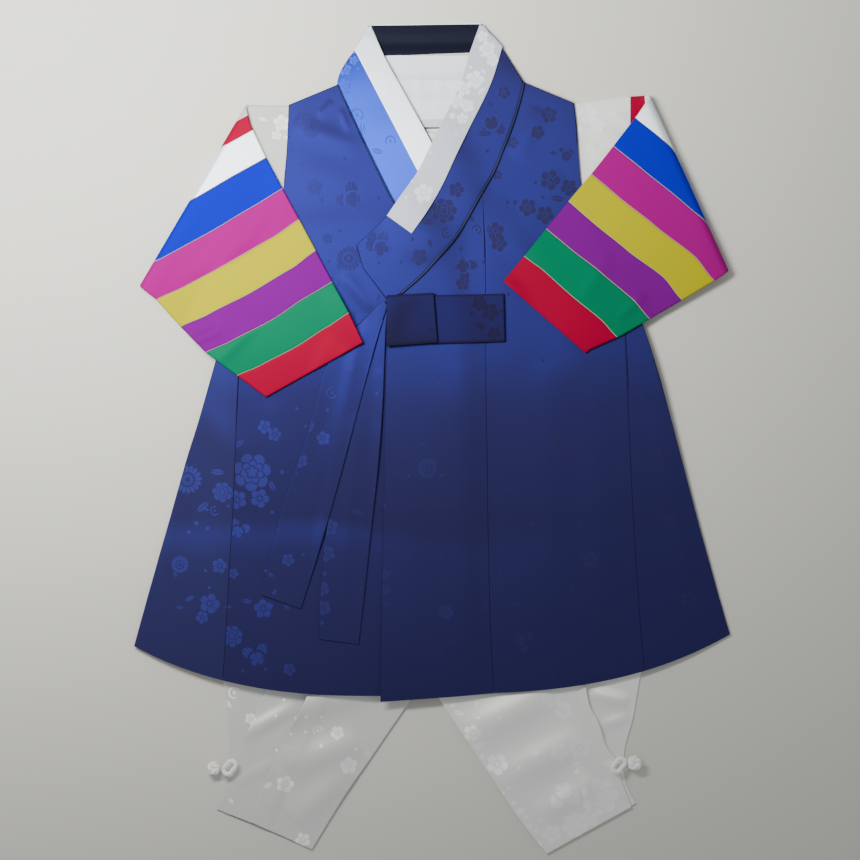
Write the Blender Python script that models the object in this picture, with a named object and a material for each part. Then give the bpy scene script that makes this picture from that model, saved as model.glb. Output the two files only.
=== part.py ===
"""A small child's hanbok set laid flat on its back: trousers, jacket with striped sleeves folded
over the front, and a long sleeveless coat tied with a ribbon.

Sizes are millimetres. X runs to the wearer's left, Y towards the neck, and Z up from the surface.
"""
import math
from collections import namedtuple

import bmesh
import bpy
import numpy as np

MM = 0.001

# Cloth
WALL = 1.0  # one layer with its lining
RIBBON_WALL = 1.2
PIPING_WALL = 1.3
GAP = 0.3  # between pieces that touch or meet at a seam
SLIT = 0.4  # between the two layers of a flattened tube
TUBE = 2 * WALL + SLIT  # a flattened sleeve
TUBE_EDGE = TUBE / 2  # how far the rounded edge of a flattened tube reaches in
DRAPE_SLOPE = 0.2  # how steeply cloth comes down from what it lies on
LONGEST_DRAPE = 40.0
SETTLE_STEPS = 25

# Sleeves
JACKET_HALF = 105.0  # centre line to the seam between jacket and sleeve
STRIPE = 28.3
STRIPE_GAP = 0.5
FIRST_STRIPES = (158.8, 170.8, 195.1)  # seams ivory/red, red/white and white/blue from the centre line
STRIPE_NAMES = ("red", "white", "blue", "magenta", "yellow", "purple", "green", "red_cuff")
CUFF_STRIPE = 25.9
COAT_BACK_HALF = 112.0  # the coat's back at its armhole
SLEEVE_DROP_END = 126.0  # where the sleeve has come down from the coat's back to the surface
FOLD_STEPS = 5  # flat facets round the sleeve's fold
FOLD_STATIONS = (0, 18, 36, 54, 72, 92, 112, 132, 155, 200)  # how far in from the fold the sleeve is creased
FOLD_FALL = 0.06  # how fast a puffy fold sinks to what it lies on

# Ankle buttons
CORD_RADIUS = 1.6
LOOP_RADIUS = 5.2

COLOURS = {
    "blue_damask": (0.035, 0.085, 0.38),
    "navy_satin": (0.01, 0.013, 0.04),
    "ivory_jacquard": (0.74, 0.73, 0.68),
    "white_satin": (0.86, 0.87, 0.89),
    "red_satin": (0.66, 0.015, 0.06),
    "blue_satin": (0.012, 0.06, 0.72),
    "magenta_satin": (0.66, 0.025, 0.42),
    "yellow_satin": (0.86, 0.78, 0.01),
    "purple_satin": (0.3, 0.02, 0.45),
    "green_satin": (0.01, 0.4, 0.17),
    "ivory_cord": (0.76, 0.74, 0.66),
}


def table(columns, *rows):
    """A short table whose rows are read by the names of its columns."""
    row = namedtuple("Row", columns)
    return [row(*values) for values in rows]


# The coat from shoulder to hem. dip is how far the row sags at the centre line.
COAT = table(
    "left left_y right right_y gore_left gore_right seam lap dip",
    (-115.2, 267.2, 113.4, 268.6, 0, 0, 0, 0, 0),
    (-115.9, 250, 115.5, 250, 0, 0, 0, 0, 0),
    (-116.9, 230, 116.8, 230, 0, 0, 0, 0, 0),
    (-118.6, 211, 118.3, 211, 0, 0, 0, 0, 0),
    (-120.5, 190, 120.5, 190, 0, 0, 0, 0, 0),
    (-126, 165, 126, 165, 0, 0, 0, 0, 0),
    (-136, 147, 136, 147, 0, 0, 42.4, 0, 0),
    (-152.8, 135, 152.8, 135, -150.6, 150.6, 42.6, 0, 0),
    (-161.5, 105, 163.3, 105, -153.2, 153.4, 42.8, -36.8, 0),
    (-169.8, 75, 173.8, 75, -154, 154.5, 42.8, -36, 0),
    (-178.3, 45, 183, 45, -155, 155.8, 42.8, -36.7, 3),
    (-186.9, 15, 191.3, 15, -156.5, 157.2, 43.3, -37.5, 7),
    (-196.5, -15, 199.3, -15, -158, 158.8, 44, -38.2, 12),
    (-205.1, -45, 207.3, -45, -159.5, 160.6, 44.4, -38.8, 18),
    (-213.6, -75, 215.3, -75, -161.5, 162.6, 45.2, -39.4, 24),
    (-222, -105, 223.7, -105, -163.3, 164.9, 46, -40, 30),
    (-231, -137, 232.2, -135, -165.3, 167.2, 47.3, -40.7, 36),
    (-239.1, -166.4, 238.6, -157.2, -167.4, 170, 49.1, -41.6, 43),
)
COAT_NECK = ((-75.4, 282.6), (72.6, 284.8))
ARMPIT = 7  # the coat's row at the bottom of the armholes
HEM_DIP_POWER = 3
LAP_DROOP = 4.6  # the over front hangs this much lower at its edge

# The edge where the under collar meets the right front, then the hidden edge of the under front.
UNDER_COLLAR = table(
    "inner_x inner_y outer_x outer_y",
    (-53.2, 318.8, -62.4, 311.2),
    (-45.2, 314, -68.7, 302.8),
    (-36, 301.2, -76.4, 283.4),
    (-26, 283.6, -68.4, 266),
    (-15, 262.8, -56.5, 240.6),
    (-3, 242.8, -44.4, 215.6),
    (6, 222.8, -32, 190.8),
    (17, 203.6, -21.2, 172.4),
    (26, 186, -10, 154),
)
UNDER_EDGE = table("x", (0,), (10,), (16,), (18,), (19,), (20,), (20,), (20,), (20,), (20,), (20,))

OVER_COLLAR = table(
    "inner_x inner_y outer_x outer_y",
    (46, 318, 56.4, 312.8),
    (36, 306, 73.1, 285.5),
    (30, 292, 69, 268.5),
    (22, 276, 62.5, 248),
    (13, 258, 55.8, 230.8),
    (4, 242, 48.2, 212.4),
    (-4.5, 224, 39.9, 198.2),
    (-13.5, 207, 28.7, 177.8),
    (-26, 189.5, 17.5, 159.4),
    (-37.5, 177, 3.2, 143),
    (-49, 165.5, -9, 130),
    (-61.3, 154.4, -25.4, 115.6),
    (-55.6, 136, -36.8, 110.8),
)
OVER_KNOTS = (1, 6, 12)  # rows where the shoulder, the front seam and the lap edge meet the collar

UNDER_STRIP = table(
    "inner_x inner_y outer_x outer_y",
    (-49.4, 331.6, -52.8, 329.2),
    (-44.4, 319.6, -62.6, 311.6),
    (-38.8, 306.8, -56.1, 299),
    (-24.9, 281.4, -43.6, 274.8),
    (-6.5, 247.8, -25.2, 239.2),
    (0.2, 235.6, -18, 225.2),
    (11.6, 214.8, -7, 204.4),
)
OVER_STRIP = table(
    "inner_x inner_y outer_x outer_y",
    (37.8, 332.2, 41, 331.2),
    (30, 310, 56.2, 314),
    (24.2, 289.6, 48.6, 288.6),
    (7.8, 252.9, 28.4, 245.7),
    (-2, 233.2, 18, 224),
    (-11.6, 214, 8, 202.4),
    (-24.4, 195.6, -4.4, 180.8),
    (-36.6, 177.8, -16.6, 163.3),
)
NAPE_BAND = table(
    "inner_x inner_y outer_x outer_y",
    (-52, 331.2, 40, 332.4),
    (-48, 320, 42, 321.5),
    (-44, 306.8, 44, 310),
)
NAPE_RIM = table(
    "inner_x inner_y outer_x outer_y",
    (-51, 332.6, 39.4, 333.9),
    (-51, 326, 41.5, 327),
)
NECK_TAB = table(
    "inner_x inner_y outer_x outer_y",
    (-8.4, 255.8, 10, 256.2),
    (-8.4, 248, 10, 248.4),
)

JACKET_BACK = table(
    "left right y",
    (-46, 38, 308),
    (-58, 52, 292),
    (-76, 74, 281),
    (-JACKET_HALF, JACKET_HALF, 266),
    (-JACKET_HALF, JACKET_HALF, 232),
    (-JACKET_HALF, JACKET_HALF, 190),
    (-JACKET_HALF, JACKET_HALF, 140),
    (-116, 116, 118),
    (-122, 122, 84),
    (-127, 127, 50),
)
# Each front from the shoulder down; inner is its edge towards the other front.
JACKET_FRONTS = table(
    "y right_inner left_inner outer",
    (274, -34, 31, JACKET_HALF),
    (256, -22, 17, JACKET_HALF),
    (247.4, -17, 13, JACKET_HALF),
    (246.6, -16, -9, JACKET_HALF),
    (222, -5, -15, JACKET_HALF),
    (186, 14, -25, JACKET_HALF),
    (140, 32, -35, JACKET_HALF),
    (118, 38, -38, 115),
    (84, 40, -40, 121),
    (50, 40, -40, 126),
)

# A sleeve unfolded: its upper and lower edge at each distance from the centre line.
SLEEVE_RIGHT = table(
    "out top bottom",
    (JACKET_HALF, 266.6, 147),
    (149, 267.6, 143.8),
    (166, 263.4, 140),
    (195, 261.4, 133),
    (232, 260.6, 121),
    (251.8, 260.4, 129.2),
    (280, 259.9, 135.4),
    (308, 259.3, 143.2),
    (336.3, 258.8, 156),
    (362.5, 257, 168),
)
SLEEVE_LEFT = table(
    "out top bottom",
    (JACKET_HALF, 267.6, 147),
    (152, 274, 144),
    (173, 275.2, 141),
    (195, 272.6, 138),
    (236, 270.2, 134.2),
    (252, 269.5, 138.5),
    (280, 268.9, 147.5),
    (308, 268, 156.8),
    (336.3, 266.8, 166.4),
    (362.5, 266, 178.6),
)
# The outer edge of each fold, seen from above, and how open the fold is.
FOLDS = table(
    "side wearer x y low_x low_y inner_radius take_up",
    (-1, "right", -149.2, 268, -233.2, 125, 1.3, 0.3),
    (1, "left", 173, 275.3, 237.2, 134.1, 3.6, 3.0),
)

TROUSER_WAIST = 40.4
WAISTBAND_WIDTH = 22.0
WAISTBAND_HALF = 108.0
RIGHT_LEG_BACK = table(
    "outer_x outer_y inner_x inner_y",
    (-112.4, TROUSER_WAIST, 0, TROUSER_WAIST),
    (-136.4, -49.2, -1, -49.2),
    (-160.4, -145.2, -3, -145.2),
    (-168.4, -192.4, -4.4, -188),
    (-164.9, -213.6, -20.4, -213.6),
    (-162.8, -247.6, -43.6, -247.6),
    (-162.4, -272.4, -67.6, -282),
    (-168.4, -287.6, -84.4, -309.4),
    (-173.1, -298, -96.8, -329.8),
)
RIGHT_LEG_SIDE = table(
    "outer_x outer_y inner_x inner_y",
    (-106, TROUSER_WAIST, -74, TROUSER_WAIST),
    (-118.8, -97.2, -83, -97.2),
    (-134.4, -202.4, -92, -208),
    (-148.4, -234.8, -106, -238),
    (-154.3, -247.6, -115, -255),
    (-159, -266.4, -123, -272),
    (-163.7, -280.4, -131, -292),
    (-167.2, -298.8, -138, -309.6),
)
RIGHT_LEG_FRONT = table(
    "outer_x outer_y inner_x inner_y",
    (-82, TROUSER_WAIST, 0, TROUSER_WAIST),
    (-91.6, -97.2, -2, -97.2),
    (-98, -180, -4.4, -188),
    (-100.9, -206.6, -18.8, -211.2),
    (-115.6, -235.8, -38, -239.5),
    (-123.8, -252.3, -52, -260),
    (-131.6, -269.2, -68, -282.8),
    (-139.6, -289.2, -84, -308.5),
    (-146.1, -307.4, -96.8, -329.8),
)
LEFT_LEG_BACK = table(
    "outer_x outer_y inner_x inner_y",
    (112.4, TROUSER_WAIST, 0, TROUSER_WAIST),
    (136.4, -49.2, -1, -49.2),
    (158, -145, -3, -145.2),
    (167.6, -186.6, -4.4, -188),
    (164.4, -205.2, 5.6, -208.9),
    (161.1, -224.2, 21.4, -233.5),
    (154.1, -251.1, 42.6, -265.2),
    (153.2, -263.6, 56.4, -286),
    (155.6, -277.2, 70, -306),
    (163.4, -293.2, 91.8, -333.3),
)
LEFT_LEG_FRONT = table(
    "outer_x outer_y inner_x inner_y",
    (100, TROUSER_WAIST, 0, TROUSER_WAIST),
    (112, -97, -2, -97.2),
    (121, -175, -4.4, -188),
    (122.4, -194.8, 5.6, -208.9),
    (125.9, -213.6, 16, -225),
    (133, -227.6, 28, -243.3),
    (140, -247.6, 42.6, -265.2),
    (147, -258, 56.4, -286),
    (150.6, -271, 70, -306),
    (159.6, -295.6, 91.8, -333.3),
)

TAIL_OVER = table(
    "outer_x outer_y inner_x inner_y",
    (-43, 108.5, -37.4, 104.6),
    (-59.6, 90.8, -39.6, 93.2),
    (-73.2, 76.4, -45.2, 74.8),
    (-84.4, 58, -50, 57.2),
    (-93.2, 27.5, -58, 27.2),
    (-102, -3, -66, -2.8),
    (-118.5, -50.8, -79.1, -50.8),
    (-129.2, -93.2, -91.4, -93.2),
    (-136.8, -124.8, -104.8, -136),
)
TAIL_UNDER = table(
    "outer_x outer_y inner_x inner_y",
    (-42.6, 104, -37.6, 104),
    (-53.2, 78.8, -37.5, 78.8),
    (-64.4, 30.8, -39.4, 30.8),
    (-76.4, -25.2, -43.6, -25.2),
    (-83.6, -65.2, -48, -65.2),
    (-89.6, -129.2, -54.8, -129.2),
    (-90, -160, -58.8, -164.2),
)
BOW = table("left_x left_y right_x right_y", (-35.6, 113.2, 57.2, 115.6), (-35.9, 74, 58, 77.2))
BOW_KNOT = table("left_x left_y right_x right_y", (-36.6, 113.8, 1.2, 116), (-36.9, 73.2, 4.4, 76.2))
ANKLES = table(
    "wearer ball_x ball_y radius loop_x loop_y",
    ("right", -174.7, -263.6, 5.8, -162.6, -262.8),
    ("left", 161.8, -259.4, 6.2, 149.4, -261),
)


class Pile:
    """The highest point of all the cloth laid so far, cell by cell."""

    cell = 2.0
    low = np.array([-280.0, -380.0])
    size = (281, 381)

    def __init__(self):
        self.top = np.zeros(self.size)

    def index(self, points):
        places = np.rint((np.asarray(points) - self.low) / self.cell).astype(int)
        return places[..., 0], places[..., 1]

    def cover(self, points, heights):
        np.maximum.at(self.top, self.index(points), heights)

    def at(self, points):
        return self.top[self.index(points)]

    def rest(self):
        """Where cloth laid on the pile comes to rest: just clear of it, with a slope down around it."""
        high = self.grown(self.top, 0)
        for _ in range(int(LONGEST_DRAPE / self.cell)):
            high = self.grown(high, DRAPE_SLOPE * self.cell)
        return high + GAP * np.minimum(1, high / GAP)

    @staticmethod
    def grown(high, fall):
        wide = high.copy()
        wide[1:] = np.maximum(wide[1:], high[:-1] - fall)
        wide[:-1] = np.maximum(wide[:-1], high[1:] - fall)
        tall = wide.copy()
        tall[:, 1:] = np.maximum(tall[:, 1:], wide[:, :-1] - fall)
        tall[:, :-1] = np.maximum(tall[:, :-1], wide[:, 1:] - fall)
        return tall


def material(name):
    """The Principled material of one cloth."""
    found = bpy.data.materials.get(name)
    if found is None:
        found = bpy.data.materials.new(name)
        found.use_nodes = True
        shader = found.node_tree.nodes["Principled BSDF"]
        shader.inputs["Base Color"].default_value = (*COLOURS[name], 1)
        shader.inputs["Roughness"].default_value = 0.45
        shader.inputs["Metallic"].default_value = 0.0
        found.diffuse_color = (*COLOURS[name], 1)
    return found


def add_object(name, mesh, cloth):
    piece = bpy.data.objects.new(name, mesh)
    piece.data.materials.append(material(cloth))
    bpy.context.scene.collection.objects.link(piece)
    return piece


def edges(rows, first="inner", second="outer"):
    """The two long edges of a table whose rows name a point on each."""
    return [
        np.array([[getattr(row, side + "_x"), getattr(row, side + "_y")] for row in rows], float)
        for side in (first, second)
    ]


def span(first, second, columns):
    """A grid of points between two edges."""
    across = np.linspace(0, 1, columns + 1)[None, :, None]
    return first[:, None] * (1 - across) + second[:, None] * across


def rim(grid):
    """The grid's boundary as row and column numbers, in order."""
    rows, columns = grid.shape[0] - 1, grid.shape[1] - 1
    top = [(0, j) for j in range(columns)]
    right = [(i, columns) for i in range(rows)]
    bottom = [(rows, j) for j in range(columns, 0, -1)]
    left = [(i, 0) for i in range(rows, 0, -1)]
    return top + right + bottom + left


def seam_inset(grid):
    """The grid with its boundary drawn in by half a seam gap."""
    places = rim(grid)
    loop = np.array([grid[p] for p in places])
    before, after = np.roll(loop, 1, axis=0), np.roll(loop, -1, axis=0)
    area = np.sum(loop[:, 0] * after[:, 1] - after[:, 0] * loop[:, 1])
    turn = 1.0 if area > 0 else -1.0

    def normals(run):
        run = run / np.linalg.norm(run, axis=1)[:, None]
        return turn * np.stack([-run[:, 1], run[:, 0]], axis=1)

    one, two = normals(loop - before), normals(after - loop)
    opening = np.maximum(1 + np.sum(one * two, axis=1), 0.35)
    moved = loop + (one + two) / opening[:, None] * GAP / 2
    drawn = grid.copy()
    for place, point in zip(places, moved):
        drawn[place] = point
    return drawn


def samples(grid, step=1.2):
    """Points close together all over the grid: the corners each lies between, and its share of them."""
    number = np.arange(grid.shape[0] * grid.shape[1]).reshape(grid.shape[:2])
    corners, shares = [], []
    for i in range(grid.shape[0] - 1):
        for j in range(grid.shape[1] - 1):
            quad = [(i, j), (i + 1, j), (i + 1, j + 1), (i, j + 1)]
            places = [grid[p][:2] for p in quad]
            longest = max(np.linalg.norm(p - q) for p, q in zip(places, places[1:] + places[:1]))
            t = np.linspace(0, 1, int(longest / step) + 2)
            down, over = (side.ravel() for side in np.meshgrid(t, t))
            inside = down + over <= 1
            down, over = down[inside], over[inside]
            share = np.stack([1 - down - over, down, over], axis=1)
            for triangle in ((quad[1], quad[2], quad[0]), (quad[3], quad[0], quad[2])):
                corners.append(np.tile([number[p] for p in triangle], (len(share), 1)))
                shares.append(share)
    return np.concatenate(corners), np.concatenate(shares)


def spread(values, corners, shares):
    """The values of a grid's points at its samples."""
    flat = values.reshape(-1, values.shape[-1])
    return np.einsum("nk,nkc->nc", shares, flat[corners])


def clear_heights(rest, pile, grid):
    """The height of each of the grid's points at which the whole panel clears what is under it."""
    corners, shares = samples(grid)
    needed = rest[pile.index(spread(grid, corners, shares))]
    heights = rest[pile.index(grid)].ravel()
    pull = shares / np.sum(shares**2, axis=1)[:, None]
    for step in range(SETTLE_STEPS):
        lack = np.maximum(needed - np.sum(shares * heights[corners], axis=1), 0)[:, None]
        rise = np.zeros_like(heights)
        np.maximum.at(rise, corners, lack * (pull if step < SETTLE_STEPS - 1 else 1))
        heights += rise
    return heights.reshape(grid.shape[:2])


def sheet_mesh(name, bottom, wall):
    """A closed wall whose lower side is the grid of points."""
    top = bottom + [0, 0, wall]
    rows, columns = bottom.shape[:2]
    points = np.concatenate([bottom.reshape(-1, 3), top.reshape(-1, 3)]) * MM
    count = rows * columns
    number = np.arange(count).reshape(rows, columns)
    faces = []
    for i in range(rows - 1):
        for j in range(columns - 1):
            a, b, c, d = number[i, j], number[i + 1, j], number[i + 1, j + 1], number[i, j + 1]
            faces += [(a, b, c), (a, c, d), (a + count, c + count, b + count), (a + count, d + count, c + count)]
    places = rim(bottom)
    for one, two in zip(places, places[1:] + places[:1]):
        a, b = number[one], number[two]
        faces += [(a, b, b + count), (a, b + count, a + count)]
    mesh = bpy.data.meshes.new(name)
    mesh.from_pydata(points.tolist(), [], [tuple(int(v) for v in face) for face in faces])
    shell = bmesh.new()
    shell.from_mesh(mesh)
    bmesh.ops.recalc_face_normals(shell, faces=shell.faces)
    shell.to_mesh(mesh)
    shell.free()
    return mesh


def lay(pile, *panels):
    """Lays panels of one layer side by side on what is there. A panel is (name, grid, cloth, wall)."""
    laid = []
    rest = pile.rest()
    for name, grid, cloth, wall in panels:
        drawn = seam_inset(grid)
        bottom = np.dstack([drawn, clear_heights(rest, pile, drawn)])
        laid.append((bottom, wall))
        add_object(name, sheet_mesh(name, bottom, wall), cloth)
    for bottom, wall in laid:
        points = spread(bottom, *samples(bottom))
        pile.cover(points[:, :2], points[:, 2] + wall)


def coat_y(level, x):
    """The height on the coat of one row at a distance across."""
    row = COAT[level]
    across = (2 * x - row.left - row.right) / (row.right - row.left)
    side = row.left_y + (row.right_y - row.left_y) * (across + 1) / 2
    return side - row.dip * (1 - np.abs(across) ** HEM_DIP_POWER)


def coat_edge(column, first=ARMPIT):
    """One named line of the coat, from a row down to the hem."""
    levels = range(first, len(COAT))
    return np.array([[getattr(COAT[i], column), coat_y(i, getattr(COAT[i], column))] for i in levels])


def outline(side, last=None):
    return np.array([[getattr(row, side), getattr(row, side + "_y")] for row in COAT[:last]], float)


def follow_hem(grid, first):
    """Bends the straight rows of a coat panel to the coat's own rows."""
    bent = grid.copy()
    for i, level in enumerate(range(first, len(COAT))):
        if COAT[level].dip:
            bent[len(grid) - (len(COAT) - first) + i, :, 1] = coat_y(
                level, bent[len(grid) - (len(COAT) - first) + i, :, 0]
            )
    return bent


def coat_back():
    left, right = outline("left"), outline("right")
    for edge in (left, right):
        edge[:ARMPIT, 0] = np.clip(edge[:ARMPIT, 0], -COAT_BACK_HALF, COAT_BACK_HALF)
        edge[:, 0] *= 1 - 1.2 / 239
    left, right = np.insert(left, 0, COAT_NECK[0], axis=0), np.insert(right, 0, COAT_NECK[1], axis=0)
    grid = follow_hem(span(left, right, 14), 0)
    grid[-1, :, 1] += 1.2
    return grid


def right_front():
    """The under front, from the armhole and gore seam to its hidden edge."""
    outer = np.concatenate([outline("left", ARMPIT), coat_edge("gore_left")])
    collar = edges(UNDER_COLLAR)[1][2:]
    hidden = [[row.x, coat_y(ARMPIT + i, row.x)] for i, row in enumerate(UNDER_EDGE)]
    return follow_hem(span(outer, np.concatenate([collar, hidden]), 7), ARMPIT)


def left_front():
    """The over front, from the collar and front seam to the armhole and gore seam."""
    collar = edges(OVER_COLLAR)[1][OVER_KNOTS[0] : OVER_KNOTS[1]]
    seam_top = edges(OVER_COLLAR)[1][OVER_KNOTS[1]][None]
    inner = np.concatenate([collar, seam_top, coat_edge("seam", ARMPIT - 1)])
    outer = np.concatenate([outline("right", ARMPIT), coat_edge("gore_right")])
    return follow_hem(span(inner, outer, 6), ARMPIT)


def overlap_panel():
    """The panel between the lap edge and the front seam, pointed at the top."""
    collar = edges(OVER_COLLAR)[1][OVER_KNOTS[1] : OVER_KNOTS[2] + 1].copy()
    seam = coat_edge("seam", ARMPIT - 1)
    collar[0] = collar[0] * 0.88 + collar[1] * 0.12
    across = np.interp(collar[:, 1], [seam[2, 1], seam[1, 1], seam[0, 1], 198.2], [42.8, 42.6, 42.4, 39.9])
    top = span(collar, np.stack([across, collar[:, 1]], axis=1), 4)
    low = span(coat_edge("lap", ARMPIT + 2), coat_edge("seam", ARMPIT + 2), 4)
    grid = follow_hem(np.concatenate([top, low]), ARMPIT + 2)
    droop = LAP_DROOP * np.linspace(1, 0, 5)
    grid[-1, :, 1] -= droop
    grid[-2, :, 1] -= droop / 2
    return grid


def gore(side):
    return follow_hem(span(outline(side)[ARMPIT:], coat_edge("gore_" + side), 3), ARMPIT)


def strip(rows, columns, first="inner", second="outer"):
    return span(*edges(rows, first, second), columns)


def ribbon_line(rows, half_width, first, last):
    """A narrow line along the outer edge of a table."""
    line = edges(rows)[1][first:last]
    run = np.gradient(line, axis=0)
    run /= np.linalg.norm(run, axis=1)[:, None]
    off = np.stack([-run[:, 1], run[:, 0]], axis=1) * half_width
    return span(line - off, line + off, 1)


def jacket_front(wearer):
    sign = -1 if wearer == "right" else 1
    inner = np.array([[getattr(row, wearer + "_inner"), row.y] for row in JACKET_FRONTS], float)
    outer = np.array([[sign * row.outer, row.y] for row in JACKET_FRONTS], float)
    outer[0, 1] = 266
    inner[0, 1] += 6
    return span(inner, outer, 5)


def flat_tube(stations):
    """A flattened tube through pairs of edge points, open at both ends, as a closed wall."""
    tube = bmesh.new()
    rings = []
    for a, b in stations:
        a, b = np.array(a, float), np.array(b, float)
        across = (b - a) / np.linalg.norm(b - a)
        middle, half_slit, turn = TUBE / 2, SLIT / 2, WALL + SLIT
        outer = [
            (a + TUBE_EDGE * across, 0),
            (b - TUBE_EDGE * across, 0),
            (b, middle),
            (b - TUBE_EDGE * across, TUBE),
            (a + TUBE_EDGE * across, TUBE),
            (a, middle),
        ]
        inner = [
            (a + turn * across, middle - half_slit),
            (b - turn * across, middle - half_slit),
            (b - WALL * across, middle),
            (b - turn * across, middle + half_slit),
            (a + turn * across, middle + half_slit),
            (a + WALL * across, middle),
        ]
        rings.append([[tube.verts.new((*p, z)) for p, z in loop] for loop in (outer, inner)])
    for one, two in zip(rings, rings[1:]):
        for loop in (0, 1):
            for j in range(6):
                k = (j + 1) % 6
                tube.faces.new((one[loop][j], one[loop][k], two[loop][k], two[loop][j]))
    for outer, inner in (rings[0], rings[-1]):
        for j in range(6):
            k = (j + 1) % 6
            tube.faces.new((outer[j], outer[k], inner[k], inner[j]))
    bmesh.ops.recalc_face_normals(tube, faces=tube.faces)
    return tube


def cut(tube, point, normal):
    """Adds an edge all round the tube where a plane crosses it."""
    everything = tube.verts[:] + tube.edges[:] + tube.faces[:]
    bmesh.ops.bisect_plane(
        tube, geom=everything, dist=0.0005, plane_co=(*point, 0), plane_no=(*normal, 0)
    )


def tube_object(name, tube, place, cloth):
    """Makes an object of a tube whose points are moved by place, an array function."""
    bmesh.ops.triangulate(tube, faces=tube.faces)
    points = np.array([v.co[:] for v in tube.verts])
    for vertex, point in zip(tube.verts, place(points) * MM):
        vertex.co = point
    mesh = bpy.data.meshes.new(name)
    tube.to_mesh(mesh)
    tube.free()
    return add_object(name, mesh, cloth)


class Sleeve:
    """One sleeve, flat from the jacket to its fold and then folded back over the coat."""

    def __init__(self, fold, rows):
        self.fold, self.rows = fold, rows
        self.outer_radius = TUBE + fold.inner_radius
        self.mean_radius = fold.inner_radius + TUBE / 2
        self.round = math.pi * self.mean_radius
        run = np.array([fold.low_x - fold.x, fold.low_y - fold.y])
        self.along = run / np.linalg.norm(run)
        self.out = np.array([-self.along[1], self.along[0]])
        if self.out[0] * fold.side < 0:
            self.out = -self.out
        self.origin = np.array([fold.x, fold.y]) - self.outer_radius * self.out
        self.low = TUBE + 2 * fold.inner_radius
        self.heights = np.full(len(FOLD_STATIONS), self.low)

    def edge(self, out):
        """The upper and lower points of the sleeve at a distance from the centre line."""
        outs = [row.out for row in self.rows]
        top = np.interp(out, outs, [row.top for row in self.rows])
        bottom = np.interp(out, outs, [row.bottom for row in self.rows])
        return (self.fold.side * out, top), (self.fold.side * out, bottom)

    def seams(self):
        first, second, third = FIRST_STRIPES
        later = [third + self.fold.take_up + STRIPE * i for i in range(6)]
        return [JACKET_HALF, first, second, *later, later[-1] + CUFF_STRIPE]

    def beyond(self, points):
        """How far each point lies past the fold's start."""
        return (points[:, :2] - self.origin) @ self.out

    def base(self, points):
        """The height of the flat part's underside: on the coat's back, then on the surface."""
        out = np.abs(points[:, 0])
        return (WALL + GAP) * np.clip((SLEEVE_DROP_END - out) / (SLEEVE_DROP_END - COAT_BACK_HALF - 2), 0, 1)

    def samples(self, step=1.5):
        outs = np.arange(JACKET_HALF, self.rows[-1].out, step)
        across = np.linspace(0, 1, 110)
        pairs = [self.edge(out) for out in outs]
        return np.concatenate([np.outer(1 - across, a) + np.outer(across, b) for a, b in pairs])

    def cover_flat(self, pile):
        points = self.samples()
        points = points[self.beyond(points) < self.outer_radius]
        pile.cover(points, self.base(points) + TUBE)

    def place(self, points):
        """Bends points of the unfolded tube over the fold."""
        d, height = self.beyond(points), points[:, 2]
        centre = TUBE + self.fold.inner_radius
        angle = np.clip(d / self.mean_radius, 0, math.pi)
        past = np.maximum(d - self.round, 0)
        offset = np.where(d < 0, d, (centre - height) * np.sin(angle) - past)
        lift = np.interp(past, FOLD_STATIONS, self.heights) - self.low
        level = centre - (centre - height) * np.cos(angle) + lift + self.base(points) * (d < 0)
        plan = points[:, :2] + np.outer(offset - d, self.out)
        return np.column_stack([plan, level])

    def settle(self, pile):
        """Finds how high each crease of the folded part lies, from what is under it."""
        points = self.samples()
        points = points[self.beyond(points) > self.round]
        past = self.beyond(points) - self.round
        landed = self.place(np.column_stack([points, np.zeros(len(points))]))[:, :2]
        near = np.max([pile.at(landed + shift) for shift in ((0, 0), (2, 0), (-2, 0), (0, 2), (0, -2))], axis=0)
        stations = np.array(FOLD_STATIONS, float)
        for k in range(1, len(stations)):
            low, high = stations[k - 1], stations[min(k + 1, len(stations) - 1)]
            under = near[(past >= low - 2) & (past <= high + 2)]
            rest = under.max() + GAP if len(under) else 0
            self.heights[k] = max(rest, self.heights[k - 1] - FOLD_FALL * (stations[k] - stations[k - 1]))

    def build(self):
        seams = self.seams()
        names = ["sleeve_top", *("stripe_" + name for name in STRIPE_NAMES)]
        cloths = ["ivory_jacquard", *(name.split("_")[0] + "_satin" for name in STRIPE_NAMES)]
        for name, cloth, start, end in zip(names, cloths, seams, seams[1:]):
            start, end = start + STRIPE_GAP / 2, end - STRIPE_GAP / 2
            knots = [row.out for row in self.rows if start + 4 < row.out < end - 4]
            tube = flat_tube([self.edge(out) for out in (start, *knots, end)])
            for step in range(FOLD_STEPS + 1):
                past = self.round * step / FOLD_STEPS
                cut(tube, self.origin + past * self.out, self.out)
            for station in FOLD_STATIONS[1:-1]:
                cut(tube, self.origin + (self.round + station) * self.out, self.out)
            if name == "sleeve_top":
                for out in (COAT_BACK_HALF + 2, SLEEVE_DROP_END):
                    cut(tube, (self.fold.side * out, 0), (1, 0))
            tube_object(f"{self.fold.wearer}_{name}", tube, self.place, cloth)


def lifted(pile, stations, steps):
    """A flattened tube laid level on whatever is highest under it, and its height."""
    (a, b), (c, d) = stations
    grid = span(np.array([a, c], float), np.array([b, d], float), steps)
    points = spread(grid, *samples(grid))
    return pile.at(points).max() + GAP, points


def lay_tube(pile, name, rows, cloth, first="left", second="right"):
    stations = list(zip(*edges(rows, first, second)))
    height, points = lifted(pile, stations, 2)
    tube_object(name, flat_tube(stations), lambda p: p + [0, 0, height], cloth)
    pile.cover(points, np.full(len(points), height + TUBE))


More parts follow.
